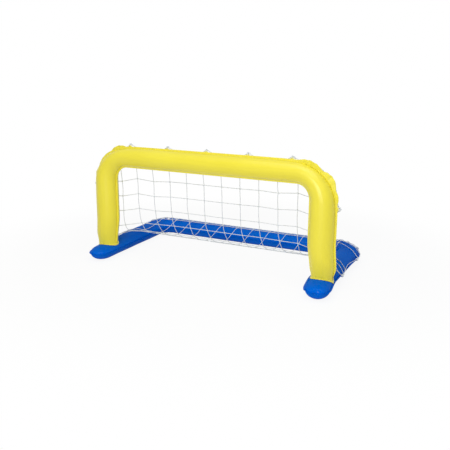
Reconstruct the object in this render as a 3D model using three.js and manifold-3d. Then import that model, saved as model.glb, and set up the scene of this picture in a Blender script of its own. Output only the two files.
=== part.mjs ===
// Water polo goal for a swimming pool: an inflated arch welded on an inflated U-shaped base,
// with a slack cord net tied to the welded seams. Millimetres, +Z up, the mouth faces -Y and the
// ground is Z = 0. The pieces are worked out with the arch in the plane Y = 0, and the whole goal
// then moves so that its origin is the middle of its footprint.

import * as THREE from 'three';
import { mergeVertices } from 'three/addons/utils/BufferGeometryUtils.js';
import Module from 'manifold-3d';

// Arch
const postSpacing = 1274;
const barHeight = 587;
const barRadius = 52;
const tubeRadius = 64;
const archCornerRadius = 140;
const footRadius = 53;
const footTop = 78;
const taperTop = 170;

// Base
const baseReach = 594.5;
const footReach = 153;
const baseBulge = 0.5;
const baseHeight = 90;
const footHeight = 76;
const footLevelTo = 65;
const footRiseTo = 260;
const baseCornerRadius = 100;
const footTipLength = 95;

// Welded seams round the tubes
const seamWidth = 8;
const seamThickness = 1.6;
const seamFadeLength = 45;

// Ruffles of the seam round the outside of the arch's corners. A lump runs from one share of the
// corner to another, counted from the bar, and stands out by a share of the reach.
const ruffleReach = 20;
const ruffleLean = 7;
const ruffleBackShare = 0.3;
const ruffleSteps = 21;
const lumpShares = [[0, 0.42, 0.8], [0.42, 0.8, 1], [0.8, 1, 0.3]];

// Yellow lip that welds each post on the base
const lipWidth = 5;
const lipThickness = 2.5;

// Clearance between pieces that touch
const seat = 0.3;

// Tabs and ties along the seams
const tabRootHalfWidth = 9;
const tabRootHeight = 1.5;
const tabThickness = 1.2;
const tabHoleHeight = 10.6;
const tabHoleRadius = 2.7;
const tabMargin = 3.5;
const tieRadius = 6;
const tieCordRadius = 1.2;
const tieLean = THREE.MathUtils.degToRad(50);
const tieSlack = 2;
const topTiePitch = 235;
const topTieCount = 5;
const postTieHeight = 420;
const sideTieFront = 125;
const sideTieRear = 420;
const rearTiePitch = 330;
const rearTieCount = 4;
const cornerTieAngle = Math.PI / 4;

// Net
const cellsAcross = 13;
const edgeColumnInset = 49.6;
const cellHeight = 88;
const topCell = 58;
const cordHalf = 1.4;
const netStandOff = 2.8;
const chordError = 0.8;
const stubGap = 0.6;
const edgeStartAngle = THREE.MathUtils.degToRad(35);
const edgeLeaveHeight = 150;

// Inflation valves
const valveSeatRadius = 14;
const valveSeatDepth = 2;
const valveSeatProud = 1;
const valveBoreRadius = 6.6;
const stemRadius = 6.1;
const stemLength = 12;
const stemRimRadius = 8;
const stemRimThickness = 1.2;
const stemBoreRadius = 2.9;
const capRadius = 7.6;
const capThickness = 1.4;
const plugRootRadius = 2.4;
const plugTipRadius = 1.8;
const plugLength = 4;
const capHingeOffset = 9;
const capTongueWidth = 4;
const archValveHeight = 207;
const baseValveAngle = THREE.MathUtils.degToRad(35);

// Finish of the facets
const tubeSides = 20;
const archCornerSteps = 12;
const baseCornerSteps = 8;
const tipSteps = 6;
const weldSteps = 2 * tubeSides;
const taperSteps = 5;
const edgeArcSteps = 5;
const tieRingSteps = 12;
const tieCordSides = 5;
const tabCurveSteps = 5;
const valveSides = 18;
const mergeTolerance = 1e-4;

// Derived places
const postX = postSpacing / 2;
const baseHalfWidth = tubeRadius + baseBulge;
const archCornerX = postX - archCornerRadius;
const archCornerZ = barHeight - archCornerRadius;
const flatAngle = Math.PI / 2 - 2 * Math.PI / tubeSides;
const baseHalfHeight = baseHeight / (1 + Math.sin(flatAngle));
const baseZ = baseHeight - baseHalfHeight;
const baseCornerX = postX - baseCornerRadius;
const baseCornerY = baseReach - baseCornerRadius;
const tipCentreY = footTipLength - footReach;
const cellWidth = (postSpacing - 2 * edgeColumnInset) / (cellsAcross - 2);
const stemWellDepth = stemLength + seat;

const yellow = { color: 0xf2e04a, roughness: 0.45, metalness: 0 };
const blue = { color: 0x0a4cc4, roughness: 0.32, metalness: 0 };
const white = { color: 0xe9e9e6, roughness: 0.8, metalness: 0 };
const clear = { color: 0xd8dde0, roughness: 0.3, metalness: 0 };

const wasm = await Module();
wasm.setup();

const goal = new THREE.Group();

function vec(x, y, z) {
  return new THREE.Vector3(x, y, z);
}

function addMesh(name, geometry, look) {
  const mesh = new THREE.Mesh(geometry, new THREE.MeshStandardMaterial(look));
  mesh.name = name;
  return mesh;
}

// Boolean joins and cuts on the part's own closed meshes
function toSolid(geometry) {
  const bare = geometry.clone();
  bare.deleteAttribute('normal');
  bare.deleteAttribute('uv');
  const merged = mergeVertices(bare, mergeTolerance);
  const vertProperties = new Float32Array(merged.attributes.position.array);
  const triVerts = new Uint32Array(merged.index.array);
  return new wasm.Manifold(new wasm.Mesh({ numProp: 3, vertProperties, triVerts }));
}

function toGeometry(solid) {
  const mesh = solid.getMesh();
  return closedGeometry(mesh.vertProperties, mesh.triVerts);
}

function closedGeometry(positions, indices) {
  const geometry = new THREE.BufferGeometry();
  geometry.setAttribute('position', new THREE.BufferAttribute(new Float32Array(positions), 3));
  geometry.setIndex(new THREE.BufferAttribute(new Uint32Array(indices), 1));
  geometry.computeVertexNormals();
  return geometry;
}

function signedVolume(points, indices) {
  let volume = 0;
  for (let i = 0; i < indices.length; i += 3) {
    const [a, b, c] = [points[indices[i]], points[indices[i + 1]], points[indices[i + 2]]];
    volume += a.dot(b.clone().cross(c)) / 6;
  }
  return volume;
}

// A closed skin over rings of equal count: open runs end in a tip, loops join end to start
function loft(rings, { startTip, endTip, loop = false } = {}) {
  const count = rings[0].length;
  const points = rings.flat();
  const indices = [];
  const bands = loop ? rings.length : rings.length - 1;
  for (let r = 0; r < bands; r++) {
    const next = (r + 1) % rings.length;
    for (let k = 0; k < count; k++) {
      const a = r * count + k;
      const b = r * count + (k + 1) % count;
      const c = next * count + k;
      const d = next * count + (k + 1) % count;
      indices.push(a, b, d, a, d, c);
    }
  }
  if (!loop) {
    const last = (rings.length - 1) * count;
    points.push(startTip ?? middle(rings[0]), endTip ?? middle(rings.at(-1)));
    const start = points.length - 2;
    for (let k = 0; k < count; k++) {
      indices.push(start, (k + 1) % count, k);
      indices.push(start + 1, last + k, last + (k + 1) % count);
    }
  }
  if (signedVolume(points, indices) < 0) indices.reverse();
  return closedGeometry(points.flatMap((p) => [p.x, p.y, p.z]), indices);
}

function middle(ring) {
  const sum = vec(0, 0, 0);
  for (const p of ring) sum.add(p);
  return sum.divideScalar(ring.length);
}

function smooth(value, low, high) {
  return THREE.MathUtils.smoothstep(value, low, high);
}

// Stations along the arch: centre, outward direction in its plane, and tube radius
function postRadiusAt(z) {
  return footRadius + (tubeRadius - footRadius) * smooth(z, footTop, taperTop);
}

// Radius round a corner: the angle is 0 at the bar and a right angle at the post
function cornerRadiusAt(angle) {
  return THREE.MathUtils.lerp(barRadius, tubeRadius, smooth(angle, 0, Math.PI / 2));
}

function archStations() {
  const half = [];
  const low = [baseZ];
  for (let k = 0; k <= taperSteps; k++) low.push(footTop + (taperTop - footTop) * k / taperSteps);
  low.push((taperTop + archCornerZ) / 2);
  for (const z of low) {
    half.push({ centre: vec(-postX, 0, z), out: vec(-1, 0, 0), radius: postRadiusAt(z) });
  }
  for (let k = 0; k <= archCornerSteps; k++) {
    const angle = Math.PI / 2 * k / archCornerSteps;
    const out = vec(-Math.cos(angle), 0, Math.sin(angle));
    const centre = vec(-archCornerX, 0, archCornerZ).addScaledVector(out, archCornerRadius);
    half.push({ centre, out, radius: cornerRadiusAt(Math.PI / 2 - angle) });
  }
  half.push({ centre: vec(-archCornerX / 3, 0, barHeight), out: vec(0, 0, 1), radius: barRadius });
  const mirrored = half.map(({ centre, out, radius }) => (
    { centre: vec(-centre.x, 0, centre.z), out: vec(-out.x, 0, out.z), radius }));
  return [...half, ...mirrored.reverse()];
}

function archTube() {
  const rings = archStations().map(({ centre, out, radius }) => {
    const ring = [];
    for (let k = 0; k < tubeSides; k++) {
      const angle = 2 * Math.PI * k / tubeSides;
      const point = centre.clone().addScaledVector(out, radius * Math.cos(angle));
      point.y += radius * Math.sin(angle);
      ring.push(point);
    }
    return ring;
  });
  return toSolid(loft(rings));
}

// Two flat sheets are welded edge to edge, so a thin seam stands out all along the arch
function archSeam() {
  const stations = archStations().filter(({ centre }) => centre.z >= footTop);
  const rootDepth = seamThickness;
  const fullWidthZ = footTop + seamFadeLength;
  const standsOut = (z) => (seamWidth + rootDepth) * smooth(z, footTop, fullWidthZ) - rootDepth;
  const edge = (side) => stations.map(({ centre, out, radius }) => {
    const point = centre.clone().addScaledVector(out, side * (radius + standsOut(centre.z)));
    return new THREE.Vector2(point.x, point.z);
  });
  const shape = new THREE.Shape([...edge(1), ...edge(-1).reverse()]);
  const plate = new THREE.ExtrudeGeometry(shape, { depth: seamThickness, bevelEnabled: false });
  plate.rotateX(Math.PI / 2);
  plate.translate(0, seamThickness / 2, 0);
  return toSolid(plate);
}

// Round the outside of a corner the flat sheets have length to spare, so their seam is wider
// there and stands in lumps that lean to the front and a little to the back by turns
function cornerRuffle(side) {
  const rings = [];
  for (let k = 0; k <= ruffleSteps; k++) {
    const share = k / ruffleSteps;
    const index = lumpShares.findIndex((lump) => share <= lump[1]);
    const [start, end, height] = lumpShares[index];
    const swell = height * Math.sin(Math.PI * (share - start) / (end - start));
    const lean = index % 2 === 0 ? -ruffleLean : ruffleLean * ruffleBackShare;
    const angle = Math.PI / 2 * share;
    const out = vec(side * Math.sin(angle), 0, Math.cos(angle));
    const skin = vec(side * archCornerX, 0, archCornerZ)
      .addScaledVector(out, archCornerRadius + cornerRadiusAt(angle));
    const root = -seamThickness;
    const bend = seamWidth - 2 * seamThickness;
    const edge = seamWidth - seamThickness + ruffleReach * swell;
    const places = [[root, 0], [bend, 0], [edge, lean * swell]];
    const front = places.map(([reach, y]) => (
      skin.clone().addScaledVector(out, reach).add(vec(0, y - seamThickness / 2, 0))));
    const back = front.map((point) => point.clone().add(vec(0, seamThickness, 0)));
    rings.push([...front, ...back.reverse()]);
  }
  return toSolid(loft(rings));
}

// Plan of the base: tip angle 0 is the front tip of a foot, pi / 2 its full width
function baseStations(extra) {
  const half = [];
  for (let k = 1; k <= tipSteps; k++) {
    const angle = Math.PI / 2 * k / tipSteps;
    const y = tipCentreY - (footTipLength + extra) * Math.cos(angle);
    half.push({ centre: vec(-postX, y, baseZ), out: vec(-1, 0, 0), scale: Math.sin(angle) });
  }
  for (const y of [footLevelTo, (footLevelTo + footRiseTo) / 2, footRiseTo]) {
    half.push({ centre: vec(-postX, y, baseZ), out: vec(-1, 0, 0), scale: 1 });
  }
  for (let k = 0; k <= baseCornerSteps; k++) {
    const angle = Math.PI / 2 * k / baseCornerSteps;
    const out = vec(-Math.cos(angle), Math.sin(angle), 0);
    const centre = vec(-baseCornerX, baseCornerY, baseZ).addScaledVector(out, baseCornerRadius);
    half.push({ centre, out, scale: 1 });
  }
  half.push({ centre: vec(-baseCornerX / 3, baseReach, baseZ), out: vec(0, 1, 0), scale: 1 });
  const mirrored = half.map(({ centre, out, scale }) => (
    { centre: vec(-centre.x, centre.y, centre.z), out: vec(-out.x, out.y, 0), scale }));
  return [...half, ...mirrored.reverse()];
}

// The posts press the base down: the height of its upper half at a distance behind the arch
function upperHeightAt(y) {
  return THREE.MathUtils.lerp(footHeight - baseZ, baseHalfHeight, smooth(y, footLevelTo, footRiseTo));
}

// Oval section of the base, resting on a flat strip of the ground
function baseTube(extra = 0) {
  const rings = baseStations(extra).map(({ centre, out, scale }) => {
    const ring = [];
    for (let k = 0; k < tubeSides; k++) {
      const angle = 2 * Math.PI * k / tubeSides;
      const reach = scale * (baseHalfWidth + extra) * Math.cos(angle);
      const point = centre.clone().addScaledVector(out, reach);
      const lift = Math.max(Math.sin(angle), -Math.sin(flatAngle));
      const height = lift > 0 ? upperHeightAt(centre.y) : baseHalfHeight;
      point.z += scale * (height + extra) * lift;
      ring.push(point);
    }
    return ring;
  });
  const startTip = vec(-postX, -footReach - extra, baseZ);
  const endTip = vec(postX, -footReach - extra, baseZ);
  return toSolid(loft(rings, { startTip, endTip }));
}

function baseSeam() {
  const reach = baseHalfWidth + seamWidth;
  const tip = footTipLength + seamWidth;
  const side = (sign) => {
    const points = [];
    for (let k = 0; k <= tipSteps; k++) {
      const angle = Math.PI / 2 * k / tipSteps;
      points.push([-postX - sign * reach * Math.sin(angle), tipCentreY - tip * Math.cos(angle)]);
    }
    for (let k = 0; k <= baseCornerSteps; k++) {
      const angle = Math.PI / 2 * k / baseCornerSteps;
      const radius = baseCornerRadius + sign * reach;
      points.push([-baseCornerX - radius * Math.cos(angle), baseCornerY + radius * Math.sin(angle)]);
    }
    return points;
  };
  const mirror = (points) => points.map(([x, y]) => [-x, y]).reverse();
  const outer = side(1);
  const inner = side(-1).slice(1).reverse();
  const outline = [...outer, ...mirror(outer), ...mirror(inner), ...inner];
  const shape = new THREE.Shape(outline.map(([x, y]) => new THREE.Vector2(x, y)));
  const plate = new THREE.ExtrudeGeometry(shape, { depth: seamThickness, bevelEnabled: false });
  plate.translate(0, 0, baseZ - seamThickness / 2);
  return toSolid(plate);
}

// Height of the base's top under a post, a way across from the centre line of a foot
function baseTopAt(across) {
  const share = Math.min(Math.abs(across) / baseHalfWidth, 1);
  return baseZ + (footHeight - baseZ) * Math.sqrt(1 - share * share);
}

function makeLip(name, side) {
  const inner = (footRadius + seat) / Math.cos(Math.PI / weldSteps);
  const across = [inner, inner + lipWidth / 2, inner + lipWidth];
  const rings = [];
  for (let k = 0; k < weldSteps; k++) {
    const angle = 2 * Math.PI * k / weldSteps;
    const at = (radius, lift) => vec(
      side * postX + radius * Math.cos(angle), radius * Math.sin(angle),
      baseTopAt(radius * Math.cos(angle)) + lift);
    const bottom = 2 * seat;
    const top = bottom + lipThickness;
    const under = across.map((radius) => at(radius, bottom));
    const over = across.map((radius) => at(radius, top));
    rings.push([...under, ...over.reverse()]);
  }
  return addMesh(name, loft(rings, { loop: true }), yellow);
}

// A frame at a seam: x along the seam, y out from the tube, z towards the side the net is on
function seamFrame(origin, out, netSide) {
  const along = out.clone().cross(netSide);
  const matrix = new THREE.Matrix4().makeBasis(along, out, netSide);
  matrix.setPosition(origin);
  return matrix;
}

function archSeamFrame(angle) {
  const out = vec(Math.sin(angle), 0, Math.cos(angle));
  const corner = vec(Math.sign(angle) * archCornerX, 0, archCornerZ);
  const reach = archCornerRadius + cornerRadiusAt(Math.abs(angle));
  const origin = corner.addScaledVector(out, reach);
  return seamFrame(origin, out, vec(0, 1, 0));
}

function topSeamFrame(x) {
  return seamFrame(vec(x, 0, barHeight + barRadius), vec(0, 0, 1), vec(0, 1, 0));
}

function postSeamFrame(side, z) {
  return seamFrame(vec(side * (postX + tubeRadius), 0, z), vec(side, 0, 0), vec(0, 1, 0));
}

function sideSeamFrame(side, y) {
  return seamFrame(vec(side * (postX + baseHalfWidth), y, baseZ), vec(side, 0, 0), vec(0, 0, 1));
}

function rearSeamFrame(x) {
  return seamFrame(vec(x, baseReach + baseHalfWidth, baseZ), vec(0, 1, 0), vec(0, 0, 1));
}

function baseCornerSeamFrame(side, angle) {
  const out = vec(side * Math.cos(angle), Math.sin(angle), 0);
  const origin = vec(side * baseCornerX, baseCornerY, baseZ);
  origin.addScaledVector(out, baseCornerRadius + baseHalfWidth);
  return seamFrame(origin, out, vec(0, 0, 1));
}

// In a seam frame: the tab's middle plane, the tie's centre and the net's border cord
const tabPlane = seamThickness / 2 + seat + tabThickness / 2;
const tieHeight = tabHoleHeight + tieRadius * Math.sin(tieLean);
const tieSide = tabPlane + tieRadius * Math.cos(tieLean);
const borderLean = THREE.MathUtils.degToRad(-20);
const borderHeight = tieHeight + tieSlack * Math.sin(borderLean);
const borderSide = tieSide + tieSlack * Math.cos(borderLean);

// Every place where the net is tied: five on the bar, one a post, and six a side round the base
function tiePlaces() {
  const places = [];
  for (let k = 0; k < topTieCount; k++) {
    places.push({ frame: topSeamFrame((k - (topTieCount - 1) / 2) * topTiePitch), look: yellow });
  }
  for (const side of [-1, 1]) {
    places.push({ frame: postSeamFrame(side, postTieHeight), look: yellow });
    places.push({ frame: sideSeamFrame(side, sideTieFront), look: blue });
    places.push({ frame: sideSeamFrame(side, sideTieRear), look: blue });
    places.push({ frame: baseCornerSeamFrame(side, cornerTieAngle), look: blue });
  }
  for (let k = 0; k < rearTieCount; k++) {
    places.push({ frame: rearSeamFrame((k - (rearTieCount - 1) / 2) * rearTiePitch), look: blue });
  }
  return places;
}

function tabGeometry() {
  const shape = new THREE.Shape();
  const round = tabHoleRadius + tabMargin;
  shape.moveTo(-tabRootHalfWidth, tabRootHeight);
  shape.lineTo(tabRootHalfWidth, tabRootHeight);
  shape.absarc(0, tabHoleHeight, round, 0, Math.PI, false);
  shape.closePath();
  const hole = new THREE.Path();
  hole.absarc(0, tabHoleHeight, tabHoleRadius, 0, 2 * Math.PI, true);
  shape.holes.push(hole);
  const options = { depth: tabThickness, bevelEnabled: false, curveSegments: tabCurveSteps };
  const geometry = new THREE.ExtrudeGeometry(shape, options);
  geometry.translate(0, 0, tabPlane - tabThickness / 2);
  return geometry;
}

function tieGeometry() {
  const ring = new THREE.TorusGeometry(tieRadius, tieCordRadius, tieCordSides, tieRingSteps);
  ring.rotateY(Math.PI / 2);
  ring.translate(0, tieHeight, tieSide);
  return ring;
}

// The net is a surface of u across and v down: whole numbers of each are its cords
const rearTubeTop = baseZ + baseHalfHeight;

// Border of the net along the bar, and over the rounded corners beside it
function barBorderHeight(x) {
  const beyond = Math.max(Math.abs(x) - archCornerX, 0);
  const angle = Math.asin(beyond / (archCornerRadius + tubeRadius + borderHeight));
  const radius = archCornerRadius + cornerRadiusAt(angle) + borderHeight;
  return archCornerZ + Math.sqrt(radius * radius - beyond * beyond);
}

// Slack line of the net from the bar to the rear tube: reach as a share of baseReach,
// height as a share of barHeight
const hangShares = [
  [0.128, 0.784], [0.135, 0.635], [0.148, 0.484], [0.183, 0.350], [0.266, 0.233],
  [0.378, 0.165], [0.505, 0.122], [0.634, 0.116], [0.765, 0.143], [0.875, 0.166],
];

function rearBorderY(x) {
  const beyond = Math.max(Math.abs(x) - baseCornerX, 0);
  const radius = baseCornerRadius + baseHalfWidth + borderHeight;
  return baseCornerY + Math.sqrt(radius * radius - beyond * beyond);
}

// Lowest height at which a cord can cross a side of the base
function restHeight(x) {
  const share = Math.abs(Math.abs(x) - postX) / (baseHalfWidth + netStandOff);
  return share < 1 ? baseZ + (baseHalfHeight + netStandOff) * Math.sqrt(1 - share * share) : 0;
}

function columnCurve(x) {
  const drop = barBorderHeight(x) / barBorderHeight(0);
  const beyond = Math.max(Math.abs(x) - archCornerX, 0);
  const slope = Math.asin(Math.min(beyond / archCornerRadius, 1));
  const tubeZ = archCornerZ + archCornerRadius * Math.cos(slope);
  const standRadius = cornerRadiusAt(slope) + netStandOff;
  const halfTall = standRadius / Math.cos(slope);
  const points = [vec(x, borderSide, barBorderHeight(x))];
  for (const angle of [25, 55, 85].map(THREE.MathUtils.degToRad)) {
    points.push(vec(x, standRadius * Math.sin(angle), tubeZ + halfTall * Math.cos(angle)));
  }
  for (const [reachShare, heightShare] of hangShares) {
    const height = Math.max(heightShare * barHeight * drop, restHeight(x));
    points.push(vec(x, reachShare * baseReach, height));
  }
  points.push(vec(x, baseReach, rearTubeTop + netStandOff));
  points.push(vec(x, rearBorderY(x), baseZ + borderSide));
  return new THREE.CatmullRomCurve3(points, false, 'centripetal');
}

// Border of the net down one side: round the arch's corner, down the post's seam,
// across to the base and along its seam to the rear corner
function edgeCurve(side) {
  const inFrame = (frame) => vec(0, borderHeight, borderSide).applyMatrix4(frame);
  const points = [];
  for (let k = 0; k <= edgeArcSteps; k++) {
    const angle = edgeStartAngle + (Math.PI / 2 - edgeStartAngle) * k / edgeArcSteps;
    points.push(inFrame(archSeamFrame(side * angle)));
  }
  points.push(inFrame(postSeamFrame(side, postTieHeight)));
  points.push(inFrame(postSeamFrame(side, (postTieHeight + edgeLeaveHeight) / 2)));
  points.push(inFrame(postSeamFrame(side, edgeLeaveHeight)));
  points.push(inFrame(sideSeamFrame(side, sideTieFront)));
  points.push(inFrame(sideSeamFrame(side, (sideTieFront + sideTieRear) / 2)));
  points.push(inFrame(sideSeamFrame(side, sideTieRear)));
  for (let k = 0; k <= edgeArcSteps; k++) {
    points.push(inFrame(baseCornerSeamFrame(side, cornerTieAngle * k / edgeArcSteps)));
  }
  return new THREE.CatmullRomCurve3(points, false, 'centripetal');
}

// Push a point of the net off the arch and off the base where it would sink into them
function pushOut(p) {
  const side = Math.sign(p.x) || 1;
  const across = Math.abs(p.x);
  const archNear = across > archCornerX && p.z > archCornerZ
    ? vec(across - archCornerX, 0, p.z - archCornerZ).setLength(archCornerRadius)
      .add(vec(archCornerX, 0, archCornerZ))
    : p.z > archCornerZ ? vec(across, 0, barHeight) : vec(postX, 0, p.z);
  const angle = Math.atan2(Math.max(across - archCornerX, 0), Math.max(p.z - archCornerZ, 0));
  const standRadius = netStandOff + (p.z > archCornerZ ? cornerRadiusAt(angle) : tubeRadius);
  const offArch = vec(across, p.y, p.z).sub(archNear);
  const archReach = Math.max(offArch.length(), standRadius);
  const q = archNear.addScaledVector(offArch.normalize(), archReach);
  const baseNear = q.x > baseCornerX && q.y > baseCornerY
    ? vec(q.x - baseCornerX, q.y - baseCornerY, 0).setLength(baseCornerRadius)
      .add(vec(baseCornerX, baseCornerY, baseZ))
    : q.y > baseCornerY ? vec(q.x, baseReach, baseZ) : vec(postX, q.y, baseZ);
  const offBase = q.clone().sub(baseNear);
  const flat = Math.hypot(offBase.x, offBase.y) / (baseHalfWidth + netStandOff);
  const tall = offBase.z / (baseHalfHeight + netStandOff);
  const baseReachShare = Math.hypot(flat, tall);
  if (baseReachShare < 1) q.copy(baseNear.addScaledVector(offBase, 1 / baseReachShare));
  return vec(side * q.x, q.y, q.z);
}

const columns = [];
for (let i = 0; i <= cellsAcross; i++) {
  const x = (i - cellsAcross / 2) * cellWidth;
  const edge = i === 0 || i === cellsAcross;
  columns.push(edge ? edgeCurve(Math.sign(x)) : columnCurve(x));
}
const middleLength = columnCurve(0).getLength();
const cellsDown = 1 + Math.round((middleLength - topCell) / cellHeight);
const topCellShare = topCell / middleLength;

function rowShare(v) {
  if (v <= 1) return v * topCellShare;
  return THREE.MathUtils.lerp(topCellShare, 1, (v - 1) / (cellsDown - 1));
}

// The outermost cells wrap round a post or over a side of the base in an arc
function netPoint(u, v) {
  const left = Math.min(Math.floor(u), cellsAcross - 1);
  const share = rowShare(v);
  const a = columns[left].getPointAt(share);
  const b = columns[left + 1].getPointAt(share);
  if (left > 0 && left < cellsAcross - 1) return pushOut(a.lerp(b, u - left));
  const half = a.clone().lerp(b, 0.5);
  const crest = pushOut(half.clone()).multiplyScalar(2).sub(half);
  return pushOut(new THREE.QuadraticBezierCurve3(a, crest, b).getPoint(u - left));
}

// Directions at a point of the net: along u, along v, and square to both
function netFrame(u, v) {
  const step = 0.02;
  const between = (value, low, high) => THREE.MathUtils.clamp(value, low, high);
  const across = netPoint(between(u + step, 0, cellsAcross), v)
    .sub(netPoint(between(u - step, 0, cellsAcross), v)).normalize();
  const down = netPoint(u, between(v + step, 0, cellsDown))
    .sub(netPoint(u, between(v - step, 0, cellsDown))).normalize();
  const normal = across.clone().cross(down).normalize();
  return { centre: netPoint(u, v), across, down, normal };
}

// A cord from one knot to the next has a four-sided section, parallel to the cord it meets
function cordRing(u, v, alongAcross) {
  const { centre, across, down, normal } = netFrame(u, v);
  const sideways = alongAcross ? down : across.negate();
  const corner = (a, b) => centre.clone()
    .addScaledVector(sideways, a * cordHalf).addScaledVector(normal, b * cordHalf);
  return [corner(-1, -1), corner(1, -1), corner(1, 1), corner(-1, 1)];
}

// Straight steps that keep a cord within chordError of the net's surface
function stepsBetween(uA, vA, uB, vB) {
  const at = (share) => netPoint(uA + (uB - uA) * share, vA + (vB - vA) * share);
  const probes = 24;
  const most = 12;
  for (let steps = 1; steps < most; steps++) {
    let bow = 0;
    for (let k = 0; k < steps; k++) {
      const chord = new THREE.Line3(at(k / steps), at((k + 1) / steps));
      for (let i = 1; i < probes / steps; i++) {
        const point = at((k + i * steps / probes) / steps);
        bow = Math.max(bow, chord.closestPointToPoint(point, true, vec(0, 0, 0)).distanceTo(point));
      }
    }
    if (bow < chordError) return steps;
  }
  return most;
}

// Share of the way to the next knot at which a cord is clear of the knot's block
function stubShare(uA, vA, uB, vB) {
  const knot = netPoint(uA, vA);
  let low = 0;
  let high = 0.5;
  for (let k = 0; k < 20; k++) {
    const half = (low + high) / 2;
    const away = netPoint(uA + (uB - uA) * half, vA + (vB - vA) * half).distanceTo(knot);
    if (away < cordHalf + stubGap) low = half;
    else high = half;
  }
  return high;
}

// One panel of the net. Its knots are blocks with eight corners, and a cord joins the facing
// sides of two blocks; where a neighbouring panel holds the knot, the cord stops short of it.
function netPanel({ u0, u1, v0, v1, ownLeft = true, ownRight = true, ownTop = true }) {
  const points = [];
  const indices = [];
  const add = (p) => points.push(p) - 1;
  const quad = (a, b, c, d) => indices.push(a, b, c, a, c, d);
  const band = (from, to) => {
    for (let k = 0; k < 4; k++) quad(from[k], from[(k + 1) % 4], to[(k + 1) % 4], to[k]);
  };
  const knots = new Map();
  const key = (u, v) => `${u},${v}`;
  const firstU = ownLeft ? u0 : u0 + 1;
  const lastU = ownRight ? u1 : u1 - 1;
  const firstV = ownTop ? v0 : v0 + 1;
  for (let u = firstU; u <= lastU; u++) {
    for (let v = firstV; v <= v1; v++) {
      const { centre, across, down, normal } = netFrame(u, v);
      const corners = {};
      for (const a of [-1, 1]) {
        for (const b of [-1, 1]) {
          for (const c of [-1, 1]) {
            corners[`${a}${b}${c}`] = add(centre.clone()
              .addScaledVector(across, a * cordHalf)
              .addScaledVector(down, b * cordHalf)
              .addScaledVector(normal, c * cordHalf));
          }
        }
      }
      const at = (a, b, c) => corners[`${a}${b}${c}`];
      knots.set(key(u, v), {
        uPlus: [at(1, -1, -1), at(1, 1, -1), at(1, 1, 1), at(1, -1, 1)],
        uMinus: [at(-1, -1, -1), at(-1, 1, -1), at(-1, 1, 1), at(-1, -1, 1)],
        vPlus: [at(1, 1, -1), at(-1, 1, -1), at(-1, 1, 1), at(1, 1, 1)],
        vMinus: [at(1, -1, -1), at(-1, -1, -1), at(-1, -1, 1), at(1, -1, 1)],
      });
      quad(at(-1, -1, 1), at(1, -1, 1), at(1, 1, 1), at(-1, 1, 1));
      quad(at(-1, 1, -1), at(1, 1, -1), at(1, -1, -1), at(-1, -1, -1));
    }
  }
  const join = (uA, vA, uB, vB) => {
    const alongAcross = vA === vB;
    const from = knots.get(key(uA, vA));
    const to = knots.get(key(uB, vB));
    if (!from && !to) return;
    const startFace = from && (alongAcross ? from.uPlus : from.vPlus);
    const endFace = to && (alongAcross ? to.uMinus : to.vMinus);
    const begin = from ? 0 : stubShare(uA, vA, uB, vB);
    const end = to ? 1 : 1 - stubShare(uB, vB, uA, vA);
    const steps = stepsBetween(uA, vA, uB, vB);
    const ringAt = (share) => cordRing(uA + (uB - uA) * share, vA + (vB - vA) * share, alongAcross)
      .map(add);
    let previous = startFace;
    if (!previous) {
      previous = ringAt(begin);
      quad(previous[3], previous[2], previous[1], previous[0]);
    }
    for (let k = 1; k < steps; k++) {
      const ring = ringAt(begin + (end - begin) * k / steps);
      band(previous, ring);
      previous = ring;
    }
    if (endFace) {
      band(previous, endFace);
    } else {
      const ring = ringAt(end);
      band(previous, ring);
      quad(...ring);
    }
  };
  const capKnot = (u, v) => {
    const knot = knots.get(key(u, v));
    if (u === u1) quad(...knot.uPlus);
    if (u === u0) quad(...knot.uMinus.slice().reverse());
    if (v === v1) quad(...knot.vPlus);
    if (v === v0) quad(...knot.vMinus.slice().reverse());
  };
  for (let u = u0; u <= u1; u++) {
    for (let v = v0; v <= v1; v++) {
      if (u < u1) join(u, v, u + 1, v);
      if (v < v1) join(u, v, u, v + 1);
      if (knots.has(key(u, v))) capKnot(u, v);
    }
  }
  if (signedVolume(points, indices) < 0) indices.reverse();
  return closedGeometry(points.flatMap((p) => [p.x, p.y, p.z]), indices);
}

// Valve parts in a valve frame: z out of the tube, x away from the cap's hinge
function latheZ(profile) {
  const points = profile.map(([radius, z]) => new THREE.Vector2(radius, z));
  const geometry = new THREE.LatheGeometry(points, valveSides);
  geometry.rotateX(Math.PI / 2);
  return geometry;
}

const seatTop = valveSeatProud;
const rimBottom = seatTop + seat;
const rimTop = rimBottom + stemRimThickness;
const capBottom = rimTop + seat;
const capTop = capBottom + capThickness;

function valveSeat() {
  return latheZ([
    [valveBoreRadius, -valveSeatDepth], [valveSeatRadius, -valveSeatDepth],
    [valveSeatRadius, seatTop / 2], [valveSeatRadius - seatTop, seatTop],
    [valveBoreRadius, seatTop], [valveBoreRadius, -valveSeatDepth],
  ]);
}

// The tongue reaches from the middle of the rim or cap to the line that the cap folds on
function tongue(bottom, top, innerRadius) {
  const length = capHingeOffset - innerRadius;
  const box = new THREE.BoxGeometry(length, capTongueWidth, top - bottom);
  box.translate(-innerRadius - length / 2, 0, (bottom + top) / 2);
  return box;
}

function valveStem() {
  const stemBottom = rimTop - stemLength;
  const body = toSolid(latheZ([
    [stemBoreRadius, stemBottom], [stemRadius, stemBottom],
    [stemRadius, rimBottom], [stemRimRadius, rimBottom], [stemRimRadius, rimTop],
    [stemBoreRadius, rimTop], [stemBoreRadius, stemBottom],
  ]));
  return toGeometry(body.add(toSolid(tongue(rimBottom, rimTop, stemRadius))));
}

function valveCap() {
  const body = toSolid(latheZ([
    [0, capBottom - plugLength], [plugTipRadius, capBottom - plugLength],
    [plugRootRadius, capBottom], [capRadius, capBottom], [capRadius, capTop], [0, capTop],
  ]));
  return toGeometry(body.add(toSolid(tongue(capBottom, capTop, plugRootRadius))));
}

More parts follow.
